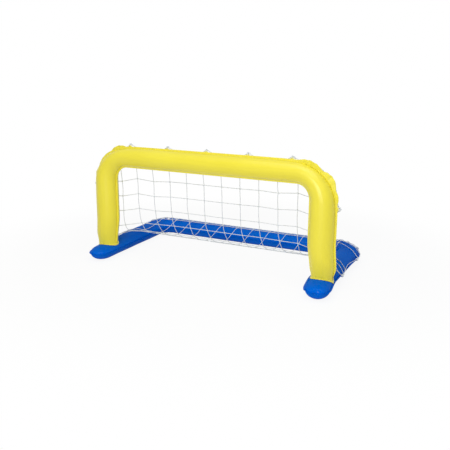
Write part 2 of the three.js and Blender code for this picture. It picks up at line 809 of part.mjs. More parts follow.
// Recess in the tube for the valve's seat, and the well that its stem sinks into
function valveRecess(frame) {
  const radius = valveSeatRadius + seat;
  const floor = -valveSeatDepth - seat;
  const top = valveSeatRadius;
  const wide = latheZ([[0, floor], [radius, floor], [radius, top], [0, top]]);
  const bottom = -stemWellDepth;
  const well = latheZ([[0, bottom], [valveBoreRadius, bottom], [valveBoreRadius, top], [0, top]]);
  const cutter = toSolid(wide).add(toSolid(well));
  return toSolid(toGeometry(cutter).applyMatrix4(frame));
}

function valveFrame(origin, outward, awayFromHinge) {
  const third = outward.clone().cross(awayFromHinge);
  return new THREE.Matrix4().makeBasis(awayFromHinge, third, outward).setPosition(origin);
}

const archValve = valveFrame(vec(postX, tubeRadius, archValveHeight), vec(0, 1, 0), vec(0, 0, -1));

const baseValveCos = Math.cos(baseValveAngle);
const baseValveSin = Math.sin(baseValveAngle);
const baseValveOut = vec(0, baseValveCos / baseHalfWidth, baseValveSin / baseHalfHeight).normalize();
const baseValveY = baseReach + baseHalfWidth * baseValveCos;
const baseValveZ = baseZ + baseHalfHeight * baseValveSin;
const baseValve = valveFrame(vec(0, baseValveY, baseValveZ), baseValveOut, vec(1, 0, 0));

function placed(mesh, frame) {
  mesh.applyMatrix4(frame);
  return mesh;
}

// The goal, piece by piece
const archBody = archTube().add(archSeam()).add(cornerRuffle(-1)).add(cornerRuffle(1))
  .subtract(baseTube(seat)).subtract(valveRecess(archValve));
goal.add(addMesh('goal_arch', toGeometry(archBody), yellow));
const baseBody = baseTube().add(baseSeam()).subtract(valveRecess(baseValve));
goal.add(addMesh('base_frame', toGeometry(baseBody), blue));
goal.add(makeLip('weld_lip_left', -1));
goal.add(makeLip('weld_lip_right', 1));

tiePlaces().forEach(({ frame, look }, index) => {
  const number = String(index + 1).padStart(2, '0');
  goal.add(placed(addMesh(`tie_tab_${number}`, tabGeometry(), look), frame));
  goal.add(placed(addMesh(`net_tie_${number}`, tieGeometry(), white), frame));
});

for (const [name, frame] of [['arch', archValve], ['base', baseValve]]) {
  goal.add(placed(addMesh(`${name}_valve_seat`, valveSeat(), clear), frame));
  goal.add(placed(addMesh(`${name}_valve_stem`, valveStem(), clear), frame));
  goal.add(placed(addMesh(`${name}_valve_cap`, valveCap(), clear), frame));
}

// Rows where the net's panels meet: behind the bar, above the ground, and before the rear tube
const barRow = 2;
const foldRow = 6;
const groundRow = 8;
const rearRow = cellsDown - 2;
const lastColumn = cellsAcross - 1;
const netPanels = [
  ['net_top', { u0: 1, u1: lastColumn, v0: 0, v1: barRow }],
  ['net_back', { u0: 1, u1: lastColumn, v0: barRow, v1: foldRow, ownTop: false }],
  ['net_fold', { u0: 1, u1: lastColumn, v0: foldRow, v1: groundRow, ownTop: false }],
  ['net_ground', { u0: 1, u1: lastColumn, v0: groundRow, v1: rearRow, ownTop: false }],
  ['net_rear', { u0: 1, u1: lastColumn, v0: rearRow, v1: cellsDown, ownTop: false }],
];
for (const [side, ends] of [
  ['left', { u0: 0, u1: 1, ownRight: false }],
  ['right', { u0: lastColumn, u1: cellsAcross, ownLeft: false }],
]) {
  netPanels.push([`net_post_${side}`, { ...ends, v0: 0, v1: foldRow }]);
  netPanels.push([`net_foot_${side}`, { ...ends, v0: foldRow, v1: groundRow, ownTop: false }]);
  netPanels.push([`net_side_${side}`, { ...ends, v0: groundRow, v1: cellsDown, ownTop: false }]);
}
for (const [name, panel] of netPanels) {
  goal.add(addMesh(name, netPanel(panel), white));
}

// Front and rear of the footprint: the seam round a foot's tip, and the ties behind the rear tube
const frontY = -footReach - seamWidth;
const rearY = baseReach + baseHalfWidth + tieHeight + tieRadius + tieCordRadius;
goal.position.y = -(frontY + rearY) / 2;

export default goal;
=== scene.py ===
# %% [markdown]
# # An inflatable water polo goal
#
# The goal is two air chambers of thin vinyl film, a yellow arch and a blue U-shaped base, with a
# white cord net tied to their welded seams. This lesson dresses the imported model: it keeps every
# size and place of the frame, and makes again, in full detail, each piece that is soft, round or
# twisted in real life. We work in metres, and in the same axes as the frame: +Z is up and the
# mouth faces -Y.

# %% Load the frame
import math

import bmesh
import bpy
from mathutils import Matrix, Vector, noise


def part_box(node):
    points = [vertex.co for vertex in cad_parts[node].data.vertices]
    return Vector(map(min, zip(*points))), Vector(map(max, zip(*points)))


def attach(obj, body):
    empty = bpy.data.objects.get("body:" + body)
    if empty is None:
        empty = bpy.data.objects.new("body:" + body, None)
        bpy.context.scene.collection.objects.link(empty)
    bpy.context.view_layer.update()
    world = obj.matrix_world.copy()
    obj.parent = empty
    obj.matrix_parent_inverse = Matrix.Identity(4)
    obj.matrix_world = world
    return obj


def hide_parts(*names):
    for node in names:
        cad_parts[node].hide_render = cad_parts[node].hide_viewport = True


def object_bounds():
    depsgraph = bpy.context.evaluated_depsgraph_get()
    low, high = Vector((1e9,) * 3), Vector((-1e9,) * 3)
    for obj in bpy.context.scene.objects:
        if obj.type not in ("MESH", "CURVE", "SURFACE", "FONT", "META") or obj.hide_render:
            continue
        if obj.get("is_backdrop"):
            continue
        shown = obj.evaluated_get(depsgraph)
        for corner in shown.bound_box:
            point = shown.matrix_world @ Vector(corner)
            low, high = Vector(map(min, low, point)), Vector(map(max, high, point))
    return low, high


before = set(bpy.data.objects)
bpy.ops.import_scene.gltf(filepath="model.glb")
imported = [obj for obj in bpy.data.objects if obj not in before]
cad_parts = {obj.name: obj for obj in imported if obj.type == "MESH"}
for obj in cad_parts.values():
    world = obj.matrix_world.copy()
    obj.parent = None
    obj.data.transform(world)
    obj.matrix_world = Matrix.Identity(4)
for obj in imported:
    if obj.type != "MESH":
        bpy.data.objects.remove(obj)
cad_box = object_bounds()

# %% [markdown]
# The driving sizes come from the frame, so the dressed goal follows the model when it changes. An
# air tube's seam stands out a little past the tube, so the base's middle line is found from its
# box less the seam. The bar is thinner than the posts; its top is just under a tab that stands
# on it. Each post narrows to a foot. The two feet are not quite alike, so their values are kept
# by side: -1 is the left and 1 the right.

# %% Sizes
MM = 0.001
SEAM_WIDTH = 8 * MM
arch_low, arch_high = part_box("goal_arch")
base_low, base_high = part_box("base_frame")

TAB_ROOT_HEIGHT = 1.5 * MM
ARCH_Y = (arch_low.y + arch_high.y) / 2
TUBE_RADIUS = (arch_high.y - arch_low.y) / 2
BAR_RADIUS = 52 * MM
BAR_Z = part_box("tie_tab_03")[0].z - TAB_ROOT_HEIGHT - BAR_RADIUS
ARCH_CORNER = 140 * MM
FOOT_RADIUS = 53 * MM
FOOT_TOP = 78 * MM
TAPER_TOP = 195 * MM
TAPER_SPREAD = 55 * MM
FOOT_SHIFT = {-1: 8 * MM, 1: 11 * MM}
FOOT_GROWTH = {-1: 2 * MM, 1: 3 * MM}

BASE_BULGE = 0.5 * MM
BASE_HALF_WIDTH = TUBE_RADIUS + BASE_BULGE
POST_X = base_high.x - BASE_HALF_WIDTH - SEAM_WIDTH
BASE_HEIGHT = base_high.z
FOOT_HEIGHT = 76 * MM
FOOT_LEVEL_TO = 65 * MM
FOOT_RISE_TO = 260 * MM
BASE_CORNER = 100 * MM
TIP_LENGTH = 95 * MM
REAR_Y = base_high.y - BASE_HALF_WIDTH - SEAM_WIDTH
TIP_Y = base_low.y + SEAM_WIDTH
FLAT_ANGLE = math.radians(72)
BASE_HALF_HEIGHT = BASE_HEIGHT / (1 + math.sin(FLAT_ANGLE))
BASE_Z = BASE_HEIGHT - BASE_HALF_HEIGHT
print(f"post x {POST_X:.4f}, bar z {BAR_Z:.4f}, rear y {REAR_Y:.4f}, seam height {BASE_Z:.4f}")

# %% [markdown]
# The photograph was taken from the right and a little above. The camera stands where it stood,
# looks the same way and has the same lens. A camera looks along its own -Z, so it is tilted up
# from straight down, turned about the vertical, and rolled a hair about its own axis.

# %% Camera
CAMERA_PLACE = Vector((1466.2 * MM, ARCH_Y - 2771.9 * MM, 1099.6 * MM))
CAMERA_TURN = math.radians(26.043)
CAMERA_DROP = math.radians(15.024)
CAMERA_ROLL = math.radians(0.326)
CAMERA_LENS, SENSOR_WIDTH = 48.77, 36  # millimetres


def new_object(name, data):
    made = bpy.data.objects.new(name, data)
    bpy.context.scene.collection.objects.link(made)
    return made


camera_data = bpy.data.cameras.new("camera")
camera_data.lens = CAMERA_LENS
camera_data.sensor_width = SENSOR_WIDTH
camera = new_object("camera", camera_data)
camera.matrix_world = (
    Matrix.Translation(CAMERA_PLACE)
    @ Matrix.Rotation(CAMERA_TURN, 4, "Z")
    @ Matrix.Rotation(math.pi / 2 - CAMERA_DROP, 4, "X")
    @ Matrix.Rotation(CAMERA_ROLL, 4, "Z")
)
bpy.context.scene.camera = camera

# %% [markdown]
# ## Materials
#
# Colours are written as sRGB hex values, as a paint chart gives them, and one function turns them
# to the linear values that Blender works in. A second small function adds a node, with its
# settings and its links, so a material reads as a short list of steps.

# %% Colour and node helpers
def colour(hex_value):
    """An sRGB hex colour as linear red, green, blue and alpha."""
    channels = [int(hex_value[i : i + 2], 16) / 255 for i in (1, 3, 5)]
    linear = [c / 12.92 if c <= 0.04045 else ((c + 0.055) / 1.055) ** 2.4 for c in channels]
    return (*linear, 1.0)


def add_node(tree, kind, inputs=None, **settings):
    """A node with its settings, and inputs that are values or the sockets that feed them."""
    node = tree.nodes.new(kind)
    for name, value in settings.items():
        setattr(node, name, value)
    for name, value in (inputs or {}).items():
        if isinstance(value, bpy.types.NodeSocket):
            tree.links.new(value, node.inputs[name])
        else:
            node.inputs[name].default_value = value
    return node


def new_material(name):
    """An empty material, its tree and its output node."""
    material = bpy.data.materials.new(name)
    material.use_nodes = True
    tree = material.node_tree
    tree.nodes.clear()
    return material, tree, tree.nodes.new("ShaderNodeOutputMaterial")


# %% [markdown]
# Both chambers are calendered PVC film: rolled smooth between hot cylinders, then welded with high
# frequency. The film is satin to glossy, its colour drifts a little over a third of a metre, and
# the rollers leave a faint pebble about 2 mm wide. Beside a welded seam the film is gathered, so
# fine creases run straight out from the seam. Each tube carries two values for that: a UV map in
# metres, along the tube and round it, and a "gather" share that says how strongly the film is
# drawn in there. The creases follow the UV map, 9 mm apart, and the gather share fades them out.
#
# A white room greys a dark gloss at low angles. So the blue film's own reflection is turned off,
# and a thin clear coat gives it a weaker gloss instead.

# %% Vinyl film
PEBBLE_SIZE = 2 * MM
PEBBLE_DEPTH = 0.2 * MM
PEBBLE_STRENGTH = 0.06
CREASE_PITCH = 9 * MM
CREASE_STRETCH = 0.12
CREASE_DEPTH = 2.2 * MM
CREASE_STRENGTH = 0.9
DRIFT_SIZE = 350 * MM
VINYL_IOR = 1.53
COAT_ROUGHNESS = 0.05


def film_material(name, deep, light, roughness, specular, coat):
    material, tree, output = new_material(name)
    place = add_node(tree, "ShaderNodeTexCoord").outputs["Object"]
    drift = add_node(
        tree, "ShaderNodeTexNoise", {"Vector": place, "Scale": 1 / DRIFT_SIZE, "Detail": 2.0}
    ).outputs["Fac"]
    tint = add_node(tree, "ShaderNodeValToRGB", {"Fac": drift})
    stops = tint.color_ramp.elements
    stops[0].position, stops[0].color = 0.35, colour(deep)
    stops[1].position, stops[1].color = 0.65, colour(light)
    pebble = add_node(
        tree, "ShaderNodeTexNoise", {"Vector": place, "Scale": 1 / PEBBLE_SIZE, "Detail": 1.0}
    ).outputs["Fac"]
    pebbled = add_node(tree, "ShaderNodeBump", {
        "Height": pebble, "Strength": PEBBLE_STRENGTH, "Distance": PEBBLE_DEPTH,
    }).outputs["Normal"]
    around = add_node(tree, "ShaderNodeUVMap", uv_map="film").outputs["UV"]
    stretched = add_node(tree, "ShaderNodeMapping", {
        "Vector": around, "Scale": (1 / CREASE_PITCH, CREASE_STRETCH / CREASE_PITCH, 1.0),
    }).outputs["Vector"]
    creases = add_node(
        tree, "ShaderNodeTexNoise", {"Vector": stretched, "Scale": 1.0, "Detail": 1.0}
    ).outputs["Fac"]
    gather = add_node(tree, "ShaderNodeAttribute", attribute_name="gather").outputs["Fac"]
    drawn = add_node(
        tree, "ShaderNodeMath", {0: creases, 1: gather}, operation="MULTIPLY"
    ).outputs["Value"]
    creased = add_node(tree, "ShaderNodeBump", {
        "Height": drawn, "Strength": CREASE_STRENGTH, "Distance": CREASE_DEPTH,
        "Normal": pebbled,
    }).outputs["Normal"]
    shader = add_node(tree, "ShaderNodeBsdfPrincipled", {
        "Base Color": tint.outputs["Color"], "Roughness": roughness, "IOR": VINYL_IOR,
        "Specular IOR Level": specular, "Coat Weight": coat,
        "Coat Roughness": COAT_ROUGHNESS, "Normal": creased, "Coat Normal": creased,
    })
    tree.links.new(shader.outputs["BSDF"], output.inputs["Surface"])
    return material


yellow_film = film_material("yellow_vinyl_film", "#e8d930", "#ecde3a", 0.36, 0.5, 0.0)
blue_film = film_material("blue_vinyl_film", "#005bc6", "#0065d1", 0.28, 0.0, 0.08)

# %% [markdown]
# The welded edge is the same film, pressed flat and hot between two bars, so it is a little shinier
# than the tube, with a fine ribbed print across it. The yellow edge is also painted a shade lighter
# than the yellow film, as painted light against the shade on a narrow strip that stands out of the
# tube. The ribs of a real weld are about 0.7 mm apart, and are drawn here at 2 mm, to show at all.

# %% Welded edge
WELD_RIB_PITCH = 2 * MM
WELD_RIB_DEPTH = 0.2 * MM
WELD_RIB_STRENGTH = 0.35
WELD_PATCH_SIZE = 40 * MM
WELD_SHINE_SPREAD = 0.15


def weld_material(name, hex_value, roughness, specular):
    material, tree, output = new_material(name)
    around = add_node(tree, "ShaderNodeUVMap", uv_map="film").outputs["UV"]
    scale = 1 / (WELD_RIB_PITCH * 2 * math.pi)
    ribs = add_node(
        tree, "ShaderNodeTexWave", {"Vector": around, "Scale": scale, "Distortion": 0.0},
        bands_direction="X",
    ).outputs["Fac"]
    bump = add_node(tree, "ShaderNodeBump", {
        "Height": ribs, "Strength": WELD_RIB_STRENGTH, "Distance": WELD_RIB_DEPTH,
    }).outputs["Normal"]
    place = add_node(tree, "ShaderNodeTexCoord").outputs["Object"]
    patch = add_node(
        tree, "ShaderNodeTexNoise", {"Vector": place, "Scale": 1 / WELD_PATCH_SIZE, "Detail": 2.0}
    ).outputs["Fac"]
    shine = add_node(tree, "ShaderNodeMapRange", {
        "Value": patch, "To Min": roughness, "To Max": roughness + WELD_SHINE_SPREAD,
    }).outputs["Result"]
    shader = add_node(tree, "ShaderNodeBsdfPrincipled", {
        "Base Color": colour(hex_value), "Roughness": shine, "IOR": VINYL_IOR,
        "Specular IOR Level": specular, "Normal": bump,
    })
    tree.links.new(shader.outputs["BSDF"], output.inputs["Surface"])
    return material


# Painted light: the yellow edge is a shade lighter than the yellow film, against shade on the strips.
yellow_weld_painted_lighter = weld_material("yellow_weld_painted_lighter", "#ece044", 0.32, 0.4)
blue_weld = weld_material("blue_weld", "#0060ca", 0.22, 0.02)

# %% [markdown]
# The net is twisted polyester cord, three soft strands a little over 3 mm thick together. Fibres
# scatter light softly, which sheen gives, and the grooves between the strands hold a little grey.
# A fine noise, in colour and in height, stands for the fibres.

# %% Twisted cord
CORD_DIAMETER = 3.4 * MM
FUZZ_SIZE = 1.2 * MM
FUZZ_DEPTH = 0.3 * MM


def cord_material():
    material, tree, output = new_material("twisted_cord")
    place = add_node(tree, "ShaderNodeTexCoord").outputs["Object"]
    fuzz = add_node(
        tree, "ShaderNodeTexNoise", {"Vector": place, "Scale": 1 / FUZZ_SIZE, "Detail": 3.0}
    ).outputs["Fac"]
    tint = add_node(tree, "ShaderNodeValToRGB", {"Fac": fuzz})
    stops = tint.color_ramp.elements
    stops[0].position, stops[0].color = 0.3, colour("#cdd2d9")
    stops[1].position, stops[1].color = 0.6, colour("#e5e9ed")
    bump = add_node(
        tree, "ShaderNodeBump", {"Height": fuzz, "Strength": 0.5, "Distance": FUZZ_DEPTH}
    ).outputs["Normal"]
    shader = add_node(tree, "ShaderNodeBsdfPrincipled", {
        "Base Color": tint.outputs["Color"], "Roughness": 0.85, "Sheen Weight": 0.3,
        "Sheen Roughness": 0.5, "Normal": bump,
    })
    tree.links.new(shader.outputs["BSDF"], output.inputs["Surface"])
    return material


white_cord = cord_material()

# %% [markdown]
# The valves are moulded in clear soft vinyl, which goes milky as it is thick: light passes through
# and scatters, so the shader is nearly half transmission, with a whitish colour.

# %% Clear moulded vinyl
CLOUD_SIZE = 6 * MM


def valve_material():
    material, tree, output = new_material("clear_moulded_vinyl")
    place = add_node(tree, "ShaderNodeTexCoord").outputs["Object"]
    cloud = add_node(
        tree, "ShaderNodeTexNoise", {"Vector": place, "Scale": 1 / CLOUD_SIZE, "Detail": 2.0}
    ).outputs["Fac"]
    tint = add_node(tree, "ShaderNodeValToRGB", {"Fac": cloud})
    tint.color_ramp.elements[0].color = colour("#d3dadd")
    tint.color_ramp.elements[1].color = colour("#e7ebec")
    shader = add_node(tree, "ShaderNodeBsdfPrincipled", {
        "Base Color": tint.outputs["Color"], "Roughness": 0.22, "IOR": VINYL_IOR,
        "Transmission Weight": 0.45,
    })
    tree.links.new(shader.outputs["BSDF"], output.inputs["Surface"])
    return material


clear_vinyl = valve_material()
print("materials:", [m.name for m in bpy.data.materials if m.use_nodes])

# %% [markdown]
# ## Piece helpers
#
# Every piece is finished the same way: its bmesh becomes a mesh with smooth shading, its object
# stays at the origin, and it rides on a body of the frame and hides the nodes that it stands for.
# Flat pieces of film get their thickness from a Solidify modifier, evenly to both sides.

# %% Finish a piece
def to_mesh(name, bm):
    mesh = bpy.data.meshes.new(name)
    bm.to_mesh(mesh)
    bm.free()
    return mesh


def finish_piece(name, shape, material, body="goal", replaces=()):
    """shape is a bmesh, which is used up, or a mesh."""
    mesh = to_mesh(name, shape) if isinstance(shape, bmesh.types.BMesh) else shape
    mesh.materials.clear()
    mesh.materials.append(material)
    mesh.shade_smooth()
    piece = new_object(name, mesh)
    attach(piece, body)
    if replaces:
        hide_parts(*replaces)
    return piece


def thicken(piece, thickness):
    film = piece.modifiers.new("film", "SOLIDIFY")
    film.thickness = thickness
    film.offset = 0.0


# %% [markdown]
# An air tube is a flat sheet rolled up: a grid whose long side runs along the tube and whose
# short side goes round it, laid on the tube's surface by a function of those two. The function
# gives a point, and the gather share that the film's creases follow. Where the sheet meets
# itself its doubles are merged, which closes the tube, and the ends are filled.

# %% Sheet laid on a surface
def laid_sheet(steps_along, steps_round, surface, closed=True):
    """surface(along, around), both 0 to 1, gives (point, gather, (u, v) in metres)."""
    bm = bmesh.new()
    bmesh.ops.create_grid(bm, x_segments=steps_along, y_segments=steps_round, size=0.5)
    film = bm.loops.layers.uv.new("film")
    gather = bm.verts.layers.float.new("gather")
    laid = {}
    for vert in bm.verts:
        laid[vert.index] = surface(vert.co.x + 0.5, vert.co.y + 0.5)
    for face in bm.faces:
        for loop in face.loops:
            loop[film].uv = laid[loop.vert.index][2]
    for vert in bm.verts:
        point, share, _ = laid[vert.index]
        vert.co = point
        vert[gather] = share
    if closed:
        bmesh.ops.remove_doubles(bm, verts=bm.verts, dist=1e-6)
        ends = [edge for edge in bm.edges if edge.is_boundary]
        if ends:
            bmesh.ops.holes_fill(bm, edges=ends, sides=0)
        bmesh.ops.recalc_face_normals(bm, faces=bm.faces)
    return bm


# %% [markdown]
# Soft forms are built from a few small functions. `smoothstep` rises from 0 to 1 between two
# values and `bell` fades out on both sides of 0, so a fold can start and end without an edge.
# Both tubes run alike on the left and on the right, so `mirrored` turns a length along one into a
# side and a distance from that side's end.

# %% Fades and mirrored lines
def smoothstep(value, low, high):
    share = min(max((value - low) / (high - low), 0.0), 1.0)
    return share * share * (3 - 2 * share)


def bell(value, width):
    return math.exp(-((value / width) ** 2))


def sign(value):
    return int(math.copysign(1, value))


def turn_gap(angle, target):
    """The least turn between two angles, in radians."""
    gap = (angle - target) % (2 * math.pi)
    return min(gap, 2 * math.pi - gap)


def mirrored(length, half):
    """(side, distance from that side's end) at a length along a line twice as long as half."""
    return (1, 2 * half - length) if length > half else (-1, length)


# %% [markdown]
# Gathered film does not wave evenly. It stands in rounded puffs with a sharp crease between them,
# and the puffs are of uneven width and height. `puffs` gives that from a running length: near 1
# on top of a puff, 0 in a crease. Noise with a fixed place, and no random number, moves the
# creases, so each run gives the same result.

# %% Uneven puffs
def puffs(length, pitch, seed):
    drift = noise.noise(Vector((length / pitch * 0.37, seed * 7.1, 0.0))) * 0.9
    share = (length / pitch + drift) % 1.0
    height = 0.65 + 0.35 * noise.noise(Vector((length / pitch * 0.5, seed * 3.3, 5.0)))
    return height * math.sin(math.pi * share) ** 0.7


def unevenness(point, size, seed):
    return noise.noise(Vector(point) / size + Vector((seed * 11.3, 0.0, 0.0)))


# %% [markdown]
# ## The arch
#
# The arch's middle line goes up a post, round a corner, along the bar and down again. One
# function gives, for a length along it, the point and the outward direction in the arch's plane.
# Everything on the arch is placed by it.

# %% The arch's middle line
BAR_HALF = POST_X - ARCH_CORNER
CORNER_ARC = ARCH_CORNER * math.pi / 2
POST_LENGTH = BAR_Z - ARCH_CORNER - BASE_Z
ARCH_HALF = POST_LENGTH + CORNER_ARC + BAR_HALF


def arch_line(length):
    """(point, outward direction) at a length from the left foot."""
    side, run = mirrored(length, ARCH_HALF)
    if run < POST_LENGTH:
        x = side * (POST_X + FOOT_SHIFT[side] * foot_share(BASE_Z + run, -1))
        return Vector((x, ARCH_Y, BASE_Z + run)), Vector((side, 0, 0))
    if run < POST_LENGTH + CORNER_ARC:
        angle = (run - POST_LENGTH) / CORNER_ARC * math.pi / 2
        out = Vector((side * math.cos(angle), 0, math.sin(angle)))
        corner = Vector((side * BAR_HALF, ARCH_Y, BAR_Z - ARCH_CORNER))
        return corner + ARCH_CORNER * out, out
    x = side * (BAR_HALF - (run - POST_LENGTH - CORNER_ARC))
    return Vector((x, ARCH_Y, BAR_Z)), Vector((0, 0, 1))


def corner_bell(length, width):
    """1 at the middle of each of the arch's corners, fading out beyond them."""
    run = mirrored(length, ARCH_HALF)[1]
    return bell(run - POST_LENGTH - CORNER_ARC / 2, width)


def corner_radius(angle):
    """Tube radius round a corner, from an angle of 0 at the bar to a right angle at the post."""
    return BAR_RADIUS + (TUBE_RADIUS - BAR_RADIUS) * smoothstep(angle, 0, math.pi / 2)


def foot_share(z, outward):
    """How near a post's foot a height is, by 0 to 1; the outward side narrows lower down."""
    return 1 - smoothstep(z, FOOT_TOP, TAPER_TOP - TAPER_SPREAD * outward)


def arch_radius(centre, outward=0.0):
    """Tube radius at a point of the middle line, on a side from 1, outward, to -1, inward."""
    x, z = abs(centre.x), centre.z
    if z < BAR_Z - ARCH_CORNER:
        foot_radius = FOOT_RADIUS + FOOT_GROWTH[sign(centre.x)]
        return TUBE_RADIUS + (foot_radius - TUBE_RADIUS) * foot_share(z, outward)
    return corner_radius(math.atan2(max(x - BAR_HALF, 0), z - BAR_Z + ARCH_CORNER))


# %% [markdown]
# Two flat strips welded along both edges blow up into a tube that is almost round, with a shallow
# groove where each seam draws the film in. Round the outside of a corner the film is too long and
# gathers in puffs against the seam; round the inside it folds in a few soft creases. At the foot
# the film is drawn in all round by the weld on the base. The tube ends just under the base's
# skin, so each end follows the base's rounded top. The base's feet turn in or out a little, and
# `base_side_x` says where a side's middle line then is.

# %% The inflated arch
TIP_SPLAY = {-1: -4 * MM, 1: 24 * MM}
TIP_SPLAY_LENGTH = 220 * MM


def base_side_x(side, y):
    """Distance of a base side's middle line from the goal's middle: its foot splays."""
    splay = 1 - smoothstep(y - TIP_Y, 0, TIP_SPLAY_LENGTH)
    return POST_X + TIP_SPLAY[sign(side)] * splay


def base_top(across):
    share = min(abs(across) / BASE_HALF_WIDTH, 1.0)
    return BASE_Z + (FOOT_HEIGHT - BASE_Z) * math.sqrt(1 - share * share)


# %% [markdown]
# A fold moves the grid's points in or out along the tube's radius. It is a height, times a bell
# round the tube that keeps it near a seam, times a bell along the tube that keeps it at a corner.
# At the foot it goes all the way round. Over all of it comes a slow rolling of under a millimetre,
# so that no part looks turned on a lathe.

# %% Folds of the arch
FOOT_SINK = 4 * MM
CORNER_DRAW = {-1: 13 * MM, 1: 12 * MM}
CORNER_DRAW_WIDTH = 0.5 * CORNER_ARC
CORNER_PUFF_WIDTH = 0.62 * CORNER_ARC
CORNER_FOLD_WIDTH = 0.42 * CORNER_ARC
OUTER_PUFF = 20 * MM
OUTER_PUFF_HEIGHT = 5.5 * MM
INNER_FOLD = 34 * MM
INNER_FOLD_HEIGHT = 1.8 * MM
FOOT_FOLD = 16 * MM
FOOT_FOLD_HEIGHT = 1.1 * MM
FOOT_FOLD_FADE = 26 * MM
ROLLING_HEIGHT = 0.7 * MM
ROLLING_SIZE = 160 * MM
GROOVE_DEPTH = 1.6 * MM
GROOVE_ANGLE = 0.13


def seam_groove(from_outer, from_inner):
    return GROOVE_DEPTH * (bell(from_outer, GROOVE_ANGLE) + bell(from_inner, GROOVE_ANGLE))


def corner_draw(length):
    """How far the film is drawn in on the outside of a corner."""
    side = mirrored(length, ARCH_HALF)[0]
    return CORNER_DRAW[side] * corner_bell(length, CORNER_DRAW_WIDTH)


def arch_surface(along, around):
    length = along * 2 * ARCH_HALF
    centre, out = arch_line(length)
    angle = around * 2 * math.pi
    radius = arch_radius(centre, math.cos(angle))
    from_outer, from_inner = turn_gap(angle, 0.0), turn_gap(angle, math.pi)
    corner = corner_bell(length, CORNER_PUFF_WIDTH)
    outer = bell(from_outer, 0.5) * corner
    puffed = OUTER_PUFF_HEIGHT * outer * (puffs(length, OUTER_PUFF, 1.0) - 0.75)
    puffed -= corner_draw(length) * bell(from_outer, 0.9)
    inner = bell(from_inner, 0.75) * corner_bell(length, CORNER_FOLD_WIDTH)
    folded = INNER_FOLD_HEIGHT * inner * (puffs(length, INNER_FOLD, 2.0) - 0.9)
    foot = bell(centre.z - FOOT_HEIGHT, FOOT_FOLD_FADE)
    drawn = FOOT_FOLD_HEIGHT * foot * (puffs(angle * FOOT_RADIUS, FOOT_FOLD, 3.0) - 0.7)
    rolling = ROLLING_HEIGHT * unevenness(centre + out * math.cos(angle), ROLLING_SIZE, 1.0)
    radius += puffed + folded + drawn + rolling - seam_groove(from_outer, from_inner)
    point = centre + out * radius * math.cos(angle)
    point.y += radius * math.sin(angle)
    floor = base_top(abs(point.x) - base_side_x(centre.x, point.y)) - FOOT_SINK
    if point.z < floor and abs(point.x) > BAR_HALF:
        point.z = floor
    edge = max(bell(from_outer, 0.6), 0.8 * bell(from_inner, 0.7))
    share = min(1.0, 0.15 * edge + corner * edge + 0.8 * foot)
    return point, share, (length, angle * TUBE_RADIUS)


arch_film = finish_piece(
    "arch_film", laid_sheet(460, 120, arch_surface), yellow_film,
    replaces=["goal_arch"],
)
print("arch film:", len(arch_film.data.polygons), "faces")

# %% [markdown]
# The seam is a flat welded edge that stands out of the tube. A strip is laid along the tube's
# outer or inner side, its width measured outwards from the tube. Round the outside of a corner
# the strip is wider, its edge is scalloped, and it waves from side to side, because the film
# there has more length than the air lets it use. Its lumps differ left and right: each runs from
# one share of the corner to another, counted from the bar, and has a height.

# %% Seam strips
FILM_THICKNESS = 0.8 * MM
SEAM_ROOT = 4 * MM
SEAM_FADE = 45 * MM
SEAM_FOOT = 50 * MM
SEAM_FOOT_LIFT = 3 * MM
SEAM_STEPS_ACROSS = 6
RUFFLE_PITCH = 24 * MM
RUFFLE_REACH = 20 * MM
RUFFLE_SCALLOP = 6 * MM
RUFFLE_LEAN = 7 * MM
RUFFLE_WAVE = 5 * MM
SEAM_WAVE = 0.5 * MM
SEAM_WAVE_SIZE = 50 * MM
LUMP_SHARES = {
    -1: ((0, 0.34, 0.55), (0.34, 0.78, 0.3), (0.78, 1, 0.35)),
    1: ((0.03, 0.45, 0.65), (0.45, 0.8, 0.85), (0.8, 1, 0.35)),
}
EDGE_DRAW = {-1: 10 * MM, 1: 6 * MM}


def lump(length):
    """(width, lean) of the seam's lumps at a length, as shares."""
    side, run = mirrored(length, ARCH_HALF)
    share = 1 - (run - POST_LENGTH) / CORNER_ARC
    if not 0 < share < 1:
        return 0.0, 0.0
    lumps = LUMP_SHARES[side]
    index = next(i for i, shares in enumerate(lumps) if share <= shares[1])
    start, end, height = lumps[index]
    swell = height * max(math.sin(math.pi * (share - start) / (end - start)), 0.0) ** 0.8
    return swell, -swell if index % 2 == 0 else 0.3 * swell


def seam_piece(name, steps, surface, material):
    bm = laid_sheet(steps, SEAM_STEPS_ACROSS, surface, closed=False)
    thicken(finish_piece(name, bm, material), 2 * FILM_THICKNESS)


def ruffle(length, seed):
    """A side to side wave whose pitch and size wander."""
    drift = noise.noise(Vector((length / RUFFLE_PITCH * 0.4, seed, 0.0))) * 2.5
    size = 0.7 + 0.5 * noise.noise(Vector((length / RUFFLE_PITCH * 0.6, seed, 9.0)))
    return size * math.sin(2 * math.pi * length / RUFFLE_PITCH + drift)


def arch_seam_surface(side):
    """side 1 is the outside of the arch, -1 its inside."""

    def surface(along, across):
        start = base_top(SEAM_FOOT) - BASE_Z + SEAM_FOOT_LIFT
        length = start + along * (2 * ARCH_HALF - 2 * start)
        centre, out = arch_line(length)
        fade = smoothstep(min(along, 1 - along) * 2 * ARCH_HALF, 0, SEAM_FADE)
        swell, lean = lump(length) if side > 0 else (0.0, 0.0)
        scallop = puffs(length, OUTER_PUFF, 1.0) - 0.5
        width = SEAM_WIDTH * fade + swell * (RUFFLE_REACH + RUFFLE_SCALLOP * scallop)
        root, edge = arch_radius(centre, side) - SEAM_ROOT, arch_radius(centre, side) + width
        if side > 0:
            root -= corner_draw(length)
            share = corner_bell(length, CORNER_DRAW_WIDTH)
            edge -= EDGE_DRAW[mirrored(length, ARCH_HALF)[0]] * share
        reach = root + across * (edge - root)
        point = centre + out * side * reach
        straight = SEAM_WAVE * unevenness(centre, SEAM_WAVE_SIZE, 4.0)
        wave = RUFFLE_LEAN * lean + RUFFLE_WAVE * swell * ruffle(length, 1.5)
        point.y += across**1.5 * (straight + wave)
        return point, 1.0, (length, reach)

    return surface


